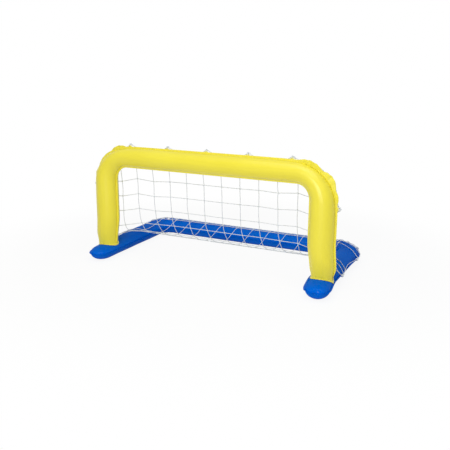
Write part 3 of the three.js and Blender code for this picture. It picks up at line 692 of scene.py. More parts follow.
seam_piece("arch_seam_outer", 700, arch_seam_surface(1), yellow_weld_painted_lighter)
seam_piece("arch_seam_inner", 500, arch_seam_surface(-1), yellow_weld_painted_lighter)

# %% [markdown]
# ## The base
#
# The base's middle line starts at the left foot's tip, runs back along the side, round the rear
# corner, across the rear, and forward again on the right. A foot's tip is a rounded end: there
# the section shrinks along a quarter of an oval. No two feet of an inflated thing are alike: the
# right one is blunter, a little longer and turns out, and the left one turns in a very little.

# %% The base's middle line
TIP_BLUNTNESS = {-1: 2.1, 1: 2.8}
TIP_STRETCH = {-1: 0 * MM, 1: 10 * MM}
REAR_HALF = POST_X - BASE_CORNER
BASE_ARC = BASE_CORNER * math.pi / 2
SIDE_LENGTH = REAR_Y - BASE_CORNER - TIP_Y
BASE_HALF_LINE = SIDE_LENGTH + BASE_ARC + REAR_HALF


def base_line(length):
    """(point, outward direction, section scale) at a length from the left foot's tip."""
    side, run = mirrored(length, BASE_HALF_LINE)
    if run < SIDE_LENGTH:
        left = max(1 - run / TIP_LENGTH, 0.0)
        scale = (1 - left ** TIP_BLUNTNESS[side]) ** (1 / TIP_BLUNTNESS[side])
        y = TIP_Y + run - TIP_STRETCH[side] * (1 - smoothstep(run, 0, TIP_SPLAY_LENGTH))
        x = side * base_side_x(side, TIP_Y + run)
        return Vector((x, y, BASE_Z)), Vector((side, 0, 0)), scale
    if run < SIDE_LENGTH + BASE_ARC:
        angle = (run - SIDE_LENGTH) / BASE_CORNER
        out = Vector((side * math.cos(angle), math.sin(angle), 0))
        corner = Vector((side * REAR_HALF, REAR_Y - BASE_CORNER, BASE_Z))
        return corner + BASE_CORNER * out, out, 1.0
    x = side * (REAR_HALF - (run - SIDE_LENGTH - BASE_ARC))
    return Vector((x, REAR_Y, BASE_Z)), Vector((0, 1, 0)), 1.0


def base_corner_bell(length, width):
    return bell(mirrored(length, BASE_HALF_LINE)[1] - SIDE_LENGTH - BASE_ARC / 2, width)


def base_tip_bell(length, width):
    return bell(mirrored(length, BASE_HALF_LINE)[1], width)


# %% [markdown]
# The base is heavier film, flattened by its own weight and the arch's: an oval that rests on a
# flat strip. The rear corners are tight, so the film gathers hard there, on the outside in deep
# puffs and on the inside in folds, and each foot's round tip is gathered all the way round.

# %% The inflated base
def upper_height(y):
    """Height of the base's upper half: the posts press it down in front."""
    rise = smoothstep(y - ARCH_Y, FOOT_LEVEL_TO, FOOT_RISE_TO)
    return FOOT_HEIGHT - BASE_Z + (BASE_HEIGHT - FOOT_HEIGHT) * rise


BASE_PUFF = 36 * MM
BASE_PUFF_WIDTH = 0.62 * BASE_ARC
LOW_PUFF_HEIGHT = 14 * MM
CROWN_PUFF_HEIGHT = 16 * MM
BASE_FOLD = 1.2 * BASE_PUFF
BASE_FOLD_HEIGHT = 5 * MM
TIP_PUFF = 15 * MM
TIP_PUFF_HEIGHT = 3.4 * MM
TIP_PUFF_WIDTH = 0.6 * TIP_LENGTH
TIP_PUFF_OFFSET = 20 * MM
BASE_ROLLING_HEIGHT = 0.9 * MM
BASE_ROLLING_SIZE = 130 * MM
FLOOR_ROUNDING = 5 * MM


def corner_lift(length, from_outer):
    """How far the gathered film stands out, or lies in, over a rear corner's outside."""
    low = bell(from_outer - 0.5, 0.45) * (puffs(length, BASE_PUFF, 4.0) - 0.2)
    crown = bell(from_outer - 1.2, 0.75) * (puffs(length, BASE_PUFF, 9.0) - 0.62)
    height = LOW_PUFF_HEIGHT * low + CROWN_PUFF_HEIGHT * crown
    return base_corner_bell(length, BASE_PUFF_WIDTH) * height


def base_surface(along, around):
    length = base_run(along)
    centre, out, scale = base_line(length)
    angle = around * 2 * math.pi
    from_outer, from_inner = turn_gap(angle, 0.0), turn_gap(angle, math.pi)
    corner = base_corner_bell(length, BASE_PUFF_WIDTH)
    tip = base_tip_bell(length, TIP_PUFF_WIDTH)
    edge = max(bell(from_outer, 0.55), bell(from_inner, 0.55))
    inner = bell(from_inner, 0.8) * corner
    lift = corner_lift(length, from_outer)
    lift += BASE_FOLD_HEIGHT * inner * (puffs(length, BASE_FOLD, 5.0) - 0.9)
    lift += TIP_PUFF_HEIGHT * tip * bell(min(from_outer, from_inner), 0.6) * (
        puffs(length + TIP_PUFF_OFFSET * (from_outer < from_inner), TIP_PUFF, 6.0) - 0.7
    )
    lift -= seam_groove(from_outer, from_inner)
    rolling = unevenness(centre + 0.2 * out * math.cos(angle), BASE_ROLLING_SIZE, 2.0)
    lift += BASE_ROLLING_HEIGHT * rolling
    across = scale * (BASE_HALF_WIDTH + lift) * math.cos(angle)
    half_height = upper_height(centre.y) if angle < math.pi else BASE_HALF_HEIGHT
    height = scale * (half_height + lift) * math.sin(angle)
    point = centre + out * across
    point.z += height
    if point.z < FLOOR_ROUNDING:
        point.z = FLOOR_ROUNDING * math.exp((point.z - FLOOR_ROUNDING) / FLOOR_ROUNDING)
    share = min(1.0, 0.15 * edge + (corner + tip) * edge)
    return point, share, (length, angle * BASE_HALF_HEIGHT)


def base_run(along):
    """Length along the base, with the steps drawn together at the round tips."""
    half = 2 * min(along, 1 - along)
    run = BASE_HALF_LINE * (0.35 * half * half + 0.65 * half)
    return run if along < 0.5 else 2 * BASE_HALF_LINE - run


base_film = finish_piece(
    "base_film", laid_sheet(520, 112, base_surface), blue_film,
    replaces=["base_frame"],
)
print("base film:", len(base_film.data.polygons), "faces")

# %% [markdown]
# The base's seam lies level, half way up, all round the outside and the inside of the U. The two
# strips meet at each foot's tip, so here the strip is laid round the tip: the strip's place is
# the tube's outline, pushed out along the outline's own normal.

# %% The base's seam
BASE_SEAM_TRIM = 1.5 * MM
BASE_SEAM_GROWTH = 5 * MM
BASE_SEAM_WAVE = 6.5 * MM
TIP_SEAM_WAVE = 1.6 * MM
OUTLINE_STEP = 0.5 * MM


def base_outline(length, side):
    centre, out, scale = base_line(length)
    return centre + side * out * scale * BASE_HALF_WIDTH


def outline_normal(length, side):
    """The level direction out of the base's outline; at the very tips it points forwards."""
    end = 2 * BASE_HALF_LINE
    if length < OUTLINE_STEP or length > end - OUTLINE_STEP:
        return Vector((0, -1, 0))
    before = base_outline(max(length - OUTLINE_STEP, 0.0), side)
    after = base_outline(min(length + OUTLINE_STEP, end), side)
    normal = side * (after - before).normalized().cross(Vector((0, 0, 1)))
    return -normal if normal.dot(base_line(length)[1]) * side < 0 else normal


def base_seam_surface(side):
    def surface(along, across):
        length = base_run(along)
        corner = base_corner_bell(length, 0.7 * BASE_ARC) if side > 0 else 0.0
        tip = base_tip_bell(length, TIP_PUFF_WIDTH)
        scallop = puffs(length, BASE_PUFF, 4.0) * corner
        growth = BASE_SEAM_GROWTH * corner * (0.3 + 0.7 * scallop)
        width = SEAM_WIDTH - BASE_SEAM_TRIM + growth
        reach = across * (width + SEAM_ROOT) - SEAM_ROOT
        point = base_outline(length, side) + outline_normal(length, side) * reach
        wave = SEAM_WAVE * unevenness(point, SEAM_WAVE_SIZE, 6.0)
        corner_wave = BASE_SEAM_WAVE * corner * ruffle(length, 3.5)
        wave += corner_wave + TIP_SEAM_WAVE * tip * ruffle(length, 5.5)
        point.z += across**1.5 * wave
        return point, 1.0, (length, reach)

    return surface


seam_piece("base_seam_outer", 900, base_seam_surface(1), blue_weld)
seam_piece("base_seam_inner", 900, base_seam_surface(-1), blue_weld)

# %% [markdown]
# ## Weld lips
#
# A yellow lip turns out from the foot of each post and is welded flat on the base. It is a strip
# laid round the post, from just inside the tube to the lip's edge, on the base's rounded top, and
# it wavers a little where the film was gathered under the weld bar.

# %% Weld lips
LIP_WIDTH = 3.5 * MM
LIP_LIFT = 1.6 * MM
LIP_ROOT = 4 * MM
LIP_RISE = 5 * MM
LIP_WAVER = 0.8 * MM
LIP_RIPPLE = 0.35 * MM
LIP_RIPPLES = 23


def lip_surface(side):
    def surface(along, across):
        angle = along * 2 * math.pi
        round_post = Vector((math.cos(angle), math.sin(angle), 0))
        waver = LIP_WAVER * unevenness((math.cos(angle), math.sin(angle), side), 0.3, 8.0)
        foot_radius = FOOT_RADIUS + FOOT_GROWTH[side]
        radius = foot_radius - LIP_ROOT + across * (LIP_WIDTH + LIP_ROOT + waver)
        rise = LIP_RISE * (1 - across) ** 3
        point = Vector((side * (POST_X + FOOT_SHIFT[side]), ARCH_Y, LIP_LIFT + rise))
        point += radius * round_post
        point.z += base_top(abs(point.x) - base_side_x(side, point.y))
        point.z += LIP_RIPPLE * math.sin(angle * LIP_RIPPLES + side) * across
        return point, 1.0, (angle * FOOT_RADIUS, radius)

    return surface


for side, word in ((-1, "left"), (1, "right")):
    bm = laid_sheet(180, 8, lip_surface(side), closed=False)
    bmesh.ops.remove_doubles(bm, verts=bm.verts, dist=1e-6)
    lip = finish_piece(
        f"weld_flange_{word}", bm, yellow_weld_painted_lighter, replaces=[f"weld_lip_{word}"]
    )
    thicken(lip, 2 * FILM_THICKNESS)


# %% [markdown]
# ## The net's shape
#
# The net is one lattice that hangs slack. Its columns start at the bar's seam, pass over the
# back of the bar, hang almost straight down, turn forward to back in a low curve above the ground
# and rise over the rear tube to the rear seam. Its two side borders run down the posts' seams and
# along the base's seams. Each column is a smooth curve through a few places, given as shares of
# the base's reach and the bar's height, and a row is a line of equal share on every column.

# %% The net's sizes
CELLS_ACROSS = 13
EDGE_COLUMN_INSET = 49.6 * MM
CELL_WIDTH = (2 * POST_X - 2 * EDGE_COLUMN_INSET) / (CELLS_ACROSS - 2)
STAND_OFF = 2.8 * MM
REACH = REAR_Y - ARCH_Y
HANG_SHARES = (
    (0.128, 0.784), (0.135, 0.635), (0.148, 0.484), (0.183, 0.350), (0.266, 0.233),
    (0.378, 0.165), (0.505, 0.126), (0.634, 0.132), (0.765, 0.172), (0.875, 0.192),
)
SIDE_HANG_SHARES = (
    (0.128, 0.784), (0.132, 0.635), (0.136, 0.484), (0.142, 0.350), (0.185, 0.240),
    (0.320, 0.180), (0.505, 0.150), (0.634, 0.150), (0.765, 0.172), (0.875, 0.192),
)
SIDE_HANG_FROM = 400 * MM
SIDE_HANG_TO = 590 * MM
ROW_PLACES = tuple(
    place * MM for place in (0, 25, 113, 201, 289, 377, 474, 568, 653, 700, 925, 990, 1052)
)
LEFT_DROOP = 17 * MM
RIGHT_DROOP = 6 * MM

# %% [markdown]
# The net is tied to tabs that stand on the seams, so its border lies a little out of each seam
# and to one side of it. Each place on a seam gets a frame of its own: x along the seam, y out of
# the tube and z to the side that the net is on. A tab, a tie or the border is then described
# once in such a frame, and the frame's matrix puts it anywhere on the goal.

# %% Where ties hold the net
TAB_THICKNESS = 1.2 * MM
TAB_HOLE_HEIGHT = 10.6 * MM
TAB_HOLE_RADIUS = 2.7 * MM
TIE_RADIUS = 6 * MM
TIE_LEAN = math.radians(50)
TIE_SLACK = 2 * MM
BORDER_LEAN = math.radians(-20)
TAB_PLANE = 0.8 * MM + 0.3 * MM + TAB_THICKNESS / 2
TIE_HEIGHT = TAB_HOLE_HEIGHT + TIE_RADIUS * math.sin(TIE_LEAN)
TIE_SIDE = TAB_PLANE + TIE_RADIUS * math.cos(TIE_LEAN)
BORDER_HEIGHT = TIE_HEIGHT + TIE_SLACK * math.sin(BORDER_LEAN)
BORDER_SIDE = TIE_SIDE + TIE_SLACK * math.cos(BORDER_LEAN)


def seam_frame(origin, out, net_side):
    """A frame at a seam: x along it, y out of the tube, z to the side that the net is on."""
    along = out.cross(net_side)
    turn = Matrix((along, out, net_side)).transposed().to_4x4()
    return Matrix.Translation(origin) @ turn


BACK = Vector((0, 1, 0))
UP = Vector((0, 0, 1))
CORNER_Z = BAR_Z - ARCH_CORNER
CORNER_Y = REAR_Y - BASE_CORNER


def arch_corner_frame(side, angle):
    out = Vector((side * math.sin(angle), 0, math.cos(angle)))
    corner = Vector((side * BAR_HALF, ARCH_Y, CORNER_Z))
    reach = ARCH_CORNER + corner_radius(angle)
    return seam_frame(corner + out * reach, out, BACK)


def bar_frame(x):
    return seam_frame(Vector((x, ARCH_Y, BAR_Z + BAR_RADIUS)), UP, BACK)


def post_frame(side, z):
    origin = Vector((side * (POST_X + TUBE_RADIUS), ARCH_Y, z))
    return seam_frame(origin, Vector((side, 0, 0)), BACK)


def side_frame(side, reach):
    origin = Vector((side * (POST_X + BASE_HALF_WIDTH), ARCH_Y + reach, BASE_Z))
    return seam_frame(origin, Vector((side, 0, 0)), UP)


def rear_frame(x):
    return seam_frame(Vector((x, REAR_Y + BASE_HALF_WIDTH, BASE_Z)), BACK, UP)


def base_corner_frame(side, angle):
    out = Vector((side * math.cos(angle), math.sin(angle), 0))
    corner = Vector((side * REAR_HALF, CORNER_Y, BASE_Z))
    return seam_frame(corner + out * (BASE_CORNER + BASE_HALF_WIDTH), out, UP)


# %% [markdown]
# A centripetal Catmull-Rom curve passes through its points without loops, which suits a slack
# cord. Blender has none of its own, so `Curve` works one out from its points and keeps a table of
# lengths, to walk it at an even pace.

# %% A smooth curve through points
class Curve:
    SAMPLES = 240

    def __init__(self, points):
        self.points = [Vector(p) for p in points]
        self.lengths = [0.0]
        self.samples = [self.at(i / self.SAMPLES) for i in range(self.SAMPLES + 1)]
        for a, b in zip(self.samples, self.samples[1:]):
            self.lengths.append(self.lengths[-1] + (b - a).length)
        self.length = self.lengths[-1]

    def at(self, share):
        points = self.points
        run = share * (len(points) - 1)
        index = min(int(run), len(points) - 2)
        t = run - index
        p1, p2 = points[index], points[index + 1]
        p0 = points[index - 1] if index > 0 else 2 * points[0] - points[1]
        p3 = points[index + 2] if index < len(points) - 2 else 2 * points[-1] - points[-2]
        d0, d1, d2 = (
            math.sqrt(max((b - a).length, 1e-9)) for a, b in ((p0, p1), (p1, p2), (p2, p3))
        )
        m1 = ((p1 - p0) / d0 - (p2 - p0) / (d0 + d1) + (p2 - p1) / d1) * d1
        m2 = ((p2 - p1) / d1 - (p3 - p1) / (d1 + d2) + (p3 - p2) / d2) * d1
        c2 = 3 * (p2 - p1) - 2 * m1 - m2
        c3 = 2 * (p1 - p2) + m1 + m2
        return p1 + m1 * t + c2 * t * t + c3 * t * t * t

    def walk(self, share):
        """The point at a share of the curve's length."""
        target = share * self.length
        low, high = 0, self.SAMPLES
        while high - low > 1:
            half = (low + high) // 2
            if self.lengths[half] <= target:
                low = half
            else:
                high = half
        part = (target - self.lengths[low]) / max(self.lengths[high] - self.lengths[low], 1e-12)
        return self.samples[low].lerp(self.samples[high], part)


# %% [markdown]
# Between its ties the border sags, so every tie draws it up in a point. A column starts on the
# border above, lies over the back of the bar, hangs through its shares, passes over the rear
# tube and ends on the rear border. Near the two sides the shares are other ones than in the
# middle, and a column that crosses a side of the base rests on it.

# %% The net's columns
TOP_TIE_PITCH = 235 * MM
BORDER_SAG = 17 * MM
TIE_HOLD = 26 * MM


def over_arc(x, half, radius):
    """Height over a rounded corner's centre line of an arc, level over the straight part."""
    beyond = max(abs(x) - half, 0.0)
    return math.sqrt(radius * radius - beyond * beyond)


def bar_border_z(x):
    beyond = max(abs(x) - BAR_HALF, 0.0)
    angle = math.asin(beyond / (ARCH_CORNER + TUBE_RADIUS + BORDER_HEIGHT))
    return CORNER_Z + over_arc(x, BAR_HALF, ARCH_CORNER + corner_radius(angle) + BORDER_HEIGHT)


def border_sag(x):
    """How far the top border droops behind the bar between its ties."""
    gap = min(abs(x - (k - 2) * TOP_TIE_PITCH) for k in range(5))
    return BORDER_SAG * (1 - bell(gap, TIE_HOLD))


def border_point(x):
    sag = border_sag(x)
    return Vector((x, ARCH_Y + BORDER_SIDE + sag, bar_border_z(x) - sag))


def rear_border_y(x):
    return CORNER_Y + over_arc(x, REAR_HALF, BASE_CORNER + BASE_HALF_WIDTH + BORDER_HEIGHT)


def rest_height(x):
    """The least height at which a cord can cross a side of the base."""
    share = abs(abs(x) - POST_X) / (BASE_HALF_WIDTH + STAND_OFF)
    if share >= 1:
        return 0.0
    return BASE_Z + (BASE_HALF_HEIGHT + STAND_OFF) * math.sqrt(1 - share * share)


def column_curve(x):
    drop = bar_border_z(x) / bar_border_z(0)
    slope = math.asin(min(max(abs(x) - BAR_HALF, 0.0) / ARCH_CORNER, 1.0))
    tube_z = CORNER_Z + ARCH_CORNER * math.cos(slope)
    stand_radius = corner_radius(slope) + STAND_OFF
    half_tall = stand_radius / math.cos(slope)
    points = [border_point(x)]
    for degrees in (25, 55, 85):
        angle = math.radians(degrees)
        back = ARCH_Y + stand_radius * math.sin(angle)
        points.append(Vector((x, back, tube_z + half_tall * math.cos(angle))))
    near_side = smoothstep(abs(x), SIDE_HANG_FROM, SIDE_HANG_TO)
    for middle, side in zip(HANG_SHARES, SIDE_HANG_SHARES):
        reach_share, height_share = Vector(middle).lerp(Vector(side), near_side)
        height = max(height_share * BAR_Z * drop, rest_height(x))
        points.append(Vector((x, ARCH_Y + reach_share * REACH, height)))
    points.append(Vector((x, REAR_Y, BASE_HEIGHT + STAND_OFF)))
    points.append(Vector((x, rear_border_y(x), BASE_Z + BORDER_SIDE)))
    return Curve(points)


# %% [markdown]
# The net's two side borders run from the bar's corners down the posts' seams, then along the
# base's seams to the rear corners. Each is one curve through places on the seams. With each
# place stands how much of the sag the border has there: none at a tie, most half way between.

# %% The net's side borders
EDGE_START = math.radians(35)
EDGE_LEAVE_Z = 150 * MM
POST_TIE_Z = 420 * MM
SIDE_TIE_FRONT = 125 * MM
SIDE_TIE_REAR = 420 * MM
CORNER_TIE_ANGLE = math.pi / 4
EDGE_ARC_STEPS = 5


def edge_curve(side):
    """The net's side border: down the post's seam, and along the base's seam to its corner."""
    shares = [k / EDGE_ARC_STEPS for k in range(EDGE_ARC_STEPS + 1)]
    places = [
        (arch_corner_frame(side, EDGE_START + (math.pi / 2 - EDGE_START) * k), 1.0)
        for k in shares
    ]
    places += [
        (post_frame(side, POST_TIE_Z), 0.0),
        (post_frame(side, POST_TIE_Z - 1.3 * TIE_HOLD), 1.3),
        (post_frame(side, (POST_TIE_Z + EDGE_LEAVE_Z) / 2), 1.5),
        (post_frame(side, EDGE_LEAVE_Z), 1.0),
        (side_frame(side, SIDE_TIE_FRONT), 0.0),
        (side_frame(side, (SIDE_TIE_FRONT + SIDE_TIE_REAR) / 2), 0.6),
        (side_frame(side, SIDE_TIE_REAR), 0.0),
    ]
    places += [
        (base_corner_frame(side, CORNER_TIE_ANGLE * k), math.sin(math.pi * k)) for k in shares
    ]
    points = []
    for frame_at, slack in places:
        sag = slack * BORDER_SAG
        points.append(frame_at @ Vector((0, BORDER_HEIGHT - sag, BORDER_SIDE + sag)))
    return Curve(points)


columns = []
for i in range(CELLS_ACROSS + 1):
    x = (i - CELLS_ACROSS / 2) * CELL_WIDTH
    is_edge = i in (0, CELLS_ACROSS)
    columns.append(edge_curve(math.copysign(1, x)) if is_edge else column_curve(x))
middle_length = column_curve(0.0).length
CELLS_DOWN = len(ROW_PLACES)
print(f"net: {CELLS_ACROSS} by {CELLS_DOWN} meshes, a column is {middle_length:.3f} m")

# %% [markdown]
# Between two columns a row runs straight, except at the two sides, where it wraps round a post
# or over the base in an arc. `push_out` moves a point that would sink into a tube back to the
# tube's skin, so the net lies on the tubes and never in them.

# %% A point of the net
def push_out(p):
    side = sign(p.x)
    x, y, z = abs(p.x), p.y - ARCH_Y, p.z
    if x > BAR_HALF and z > CORNER_Z:
        to_arc = Vector((x - BAR_HALF, 0, z - CORNER_Z)).normalized() * ARCH_CORNER
        near = Vector((BAR_HALF, 0, CORNER_Z)) + to_arc
    elif z > CORNER_Z:
        near = Vector((x, 0, BAR_Z))
    else:
        near = Vector((POST_X + FOOT_SHIFT[side] * foot_share(z, -1), 0, z))
    away = Vector((x, y, z)) - near
    stand_radius = STAND_OFF + (arch_radius(near) if z > CORNER_Z else TUBE_RADIUS)
    q = near + away.normalized() * max(away.length, stand_radius)
    corner_y, rear_y = CORNER_Y - ARCH_Y, REAR_Y - ARCH_Y
    if q.x > REAR_HALF and q.y > corner_y:
        to_arc = Vector((q.x - REAR_HALF, q.y - corner_y, 0)).normalized() * BASE_CORNER
        near = Vector((REAR_HALF, corner_y, BASE_Z)) + to_arc
        run = SIDE_LENGTH + BASE_CORNER * math.atan2(to_arc.y, to_arc.x)
    elif q.y > corner_y:
        near = Vector((q.x, rear_y, BASE_Z))
        run = SIDE_LENGTH + BASE_ARC + REAR_HALF - q.x
    else:
        near = Vector((POST_X, q.y, BASE_Z))
        run = SIDE_LENGTH + q.y - corner_y
    away = q - near
    outward = math.hypot(away.x, away.y)
    length = run if side < 0 else 2 * BASE_HALF_LINE - run
    lift = STAND_OFF + max(corner_lift(length, math.atan2(abs(away.z), outward)), 0.0)
    flat = outward / (BASE_HALF_WIDTH + lift)
    share = math.hypot(flat, away.z / (BASE_HALF_HEIGHT + lift))
    if share < 1:
        q = near + away / share
    return Vector((side * q.x, q.y + ARCH_Y, q.z))


def row_share(u, v):
    """The share of a column's length at which a row lies; the rows droop towards the sides."""
    above = min(int(v), CELLS_DOWN - 1)
    start, end = [*ROW_PLACES, middle_length][above : above + 2]
    droop = LEFT_DROOP * (1 - smoothstep(u, 1, 5.5)) + RIGHT_DROOP * smoothstep(u, 9, 12)
    droop *= smoothstep(v, 0, 2) * (1 - smoothstep(v, 5, 8))
    return (start + (end - start) * (v - above) + droop) / middle_length


def net_point(u, v):
    """u counts meshes across from the left, v counts them down from the bar."""
    left = min(int(u), CELLS_ACROSS - 1)
    if v == 0 and 1 <= u <= CELLS_ACROSS - 1:
        return border_point((u - CELLS_ACROSS / 2) * CELL_WIDTH)
    a, b = (columns[k].walk(min(row_share(k, v), 1.0)) for k in (left, left + 1))
    if 0 < left < CELLS_ACROSS - 1:
        return push_out(a.lerp(b, u - left))
    half = a.lerp(b, 0.5)
    crest = 2 * push_out(half) - half
    t = u - left
    return push_out(a * (1 - t) ** 2 + crest * 2 * t * (1 - t) + b * t * t)


# %% [markdown]
# ## Cords
#
# A cord is a Blender curve with a bevel profile, turned into a mesh at the end. The profile has
# three lobes, one for each strand, and the tilt of the curve's points turns it as it goes along,
# which lays the strands round each other. A real lay is about 9 mm long; it is drawn at 27 mm,
# so that the twist needs a point only every 3 mm.

# %% Three-strand profile
STRAND_LAY = 27 * MM
CORD_STEP = 3 * MM


def strand_profile(diameter, sides=9):
    data = bpy.data.curves.new("strands", "CURVE")
    spline = data.splines.new("POLY")
    spline.points.add(sides - 1)
    spline.use_cyclic_u = True
    for k, point in enumerate(spline.points):
        angle = 2 * math.pi * k / sides
        radius = diameter / 2 * (1.0 if k % 3 else 0.78)
        point.co = (radius * math.cos(angle), radius * math.sin(angle), 0, 1)
    return new_object("strands", data)


def cord_mesh(name, routes, diameter):
    """A mesh of cords along routes, each a list of points a cord step apart."""
    profile = strand_profile(diameter)
    data = bpy.data.curves.new(name, "CURVE")
    data.dimensions = "3D"
    data.twist_mode = "MINIMUM"
    data.bevel_mode = "OBJECT"
    data.bevel_object = profile
    data.use_fill_caps = True
    for route in routes:
        spline = data.splines.new("POLY")
        spline.points.add(len(route) - 1)
        run = 0.0
        for k, (point, place) in enumerate(zip(spline.points, route)):
            run += (place - route[k - 1]).length if k else 0.0
            point.co = (*place, 1)
            point.tilt = 2 * math.pi * run / STRAND_LAY
    rope = new_object(name, data)
    shown = rope.evaluated_get(bpy.context.evaluated_depsgraph_get())
    mesh = bpy.data.meshes.new_from_object(shown)
    mesh.name = name
    bpy.data.objects.remove(rope)
    bpy.data.objects.remove(profile)
    return mesh


def even_route(point_at, rough_length):
    """Points about a cord step apart along a path given by a share from 0 to 1."""
    count = max(int(rough_length / CORD_STEP), 2)
    return [point_at(i / count) for i in range(count + 1)]


# %% [markdown]
# Where two cords cross they are knotted, and a knot takes a little length, so each cord reaches a
# knot with a slight kink. Slack cord also wavers: between knots it bows a few millimetres, by a
# different amount for each mesh. `waver` adds that, and is zero at the knots.

# %% Columns and rows
WAVER = 3.2 * MM
ROUGH_ROW_LENGTH = 1.4


def waver(u, v):
    bow = math.sin(math.pi * (u % 1.0)) + math.sin(math.pi * (v % 1.0))
    spot = Vector((u * 0.9, v * 0.9, 0.5))
    return WAVER * bow * Vector((noise.noise(spot), noise.noise(spot + BACK * 20), 0.0))


def wavering_point(u, v):
    p = net_point(u, v)
    if 0 < u < CELLS_ACROSS and 0 < v < CELLS_DOWN:
        return push_out(p + waver(u, v))
    return p


column_routes = [
    even_route(lambda s, u=u: wavering_point(u, s * CELLS_DOWN), columns[u].length)
    for u in range(CELLS_ACROSS + 1)
]
row_routes = [
    even_route(lambda s, v=v: wavering_point(s * CELLS_ACROSS, v), ROUGH_ROW_LENGTH)
    for v in range(CELLS_DOWN + 1)
]
net_nodes = [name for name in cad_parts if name.startswith("net_") and "tie" not in name]
net_columns = finish_piece(
    "net_columns", cord_mesh("net_columns", column_routes, CORD_DIAMETER), white_cord,
    replaces=net_nodes,
)
net_rows = finish_piece(
    "net_rows", cord_mesh("net_rows", row_routes, CORD_DIAMETER), white_cord
)
print("net cords:", len(net_columns.data.polygons) + len(net_rows.data.polygons), "faces")

# %% [markdown]
# A knot is a loop of each cord round the other. One small knot is modelled once, from two closed
# loops of cord bent like saddles and crossed, and a copy is put at every crossing, turned to the
# net there. It has few faces, because there are nearly two hundred.

# %% Knots
KNOT_RADIUS = 2.3 * MM
KNOT_STEPS = 14
KNOT_CORD = 0.42 * CORD_DIAMETER
KNOT_WIDENING = 1.25
KNOT_BEND = 0.8 * MM


def knot_bmesh():
    bm = bmesh.new()
    for turn in (0.0, math.pi / 2):
        tube = bmesh.new()
        bmesh.ops.create_grid(tube, x_segments=KNOT_STEPS, y_segments=5, size=0.5)
        for vert in tube.verts:
            along = (vert.co.x + 0.5) * 2 * math.pi
            around = (vert.co.y + 0.5) * 2 * math.pi
            out = Vector((math.cos(along), math.sin(along), 0))
            ring = out * (KNOT_RADIUS + KNOT_CORD * math.cos(around))
            ring.z = KNOT_CORD * math.sin(around) + KNOT_BEND * math.sin(2 * along)
            ring.x *= KNOT_WIDENING
            vert.co = Matrix.Rotation(turn, 3, "Z") @ ring
        bmesh.ops.remove_doubles(tube, verts=tube.verts, dist=1e-6)
        bmesh.ops.recalc_face_normals(tube, faces=tube.faces)
        part = to_mesh("knot_part", tube)
        bm.from_mesh(part)
        bpy.data.meshes.remove(part)
    return bm


def net_turn(u, v):
    """The net's own axes at a point, as a turn: across, down, and square to both."""
    step = 0.05
    low_u, high_u = max(u - step, 0), min(u + step, CELLS_ACROSS)
    low_v, high_v = max(v - step, 0), min(v + step, CELLS_DOWN)
    across = (net_point(high_u, v) - net_point(low_u, v)).normalized()
    down = (net_point(u, high_v) - net_point(u, low_v)).normalized()
    normal = across.cross(down).normalized()
    down = normal.cross(across)
    return Matrix((across, down, normal)).transposed().to_4x4()


knot_data = to_mesh("knot", knot_bmesh())
knots_bm = bmesh.new()
for u in range(CELLS_ACROSS + 1):
    for v in range(CELLS_DOWN + 1):
        place = Matrix.Translation(net_point(u, v)) @ net_turn(u, v)
        known = len(knots_bm.verts)
        knots_bm.from_mesh(knot_data)
        knots_bm.verts.ensure_lookup_table()
        bmesh.ops.transform(knots_bm, matrix=place, verts=knots_bm.verts[known:])
net_knots = finish_piece("net_knots", knots_bm, white_cord)
knot_count = (CELLS_ACROSS + 1) * (CELLS_DOWN + 1)
print("knots:", knot_count, "with", len(net_knots.data.polygons), "faces")

# %% [markdown]
# ## Tabs and ties
#
# The net is tied to the seams at seventeen places: five on the bar, one on each post, two on each
# side of the base, one at each rear corner and four along the rear. Each place is a seam frame,
# and whether it is on the arch says which colour its tab has.

# %% Tie places
REAR_TIE_PITCH = 330 * MM

tie_places = [(bar_frame((k - 2) * TOP_TIE_PITCH), True) for k in range(5)]
for side in (-1, 1):
    tie_places.append((post_frame(side, POST_TIE_Z), True))
    tie_places.append((side_frame(side, SIDE_TIE_FRONT), False))
    tie_places.append((side_frame(side, SIDE_TIE_REAR), False))
    tie_places.append((base_corner_frame(side, CORNER_TIE_ANGLE), False))
tie_places += [(rear_frame((k - 1.5) * REAR_TIE_PITCH), False) for k in range(4)]

# %% [markdown]
# A tab is a small tongue of film with a hole, welded on the seam. It starts as the hole's circle,
# which is extruded outwards ring by ring: two close rings make a raised eyelet, and the last one
# is stretched down to the seam and widened there. Starting from the hole keeps its edge round.

# %% Tabs
TAB_HALF_WIDTH = 9 * MM
TAB_MARGIN = 3.5 * MM
TAB_SIDES = 40
TAB_FLARE = 1.9
TAB_OVERLAP = 0.5 * MM
EYELET_INNER = 1.0 * MM
EYELET_OUTER = 1.4 * MM
EYELET_HEIGHT = 0.35 * MM


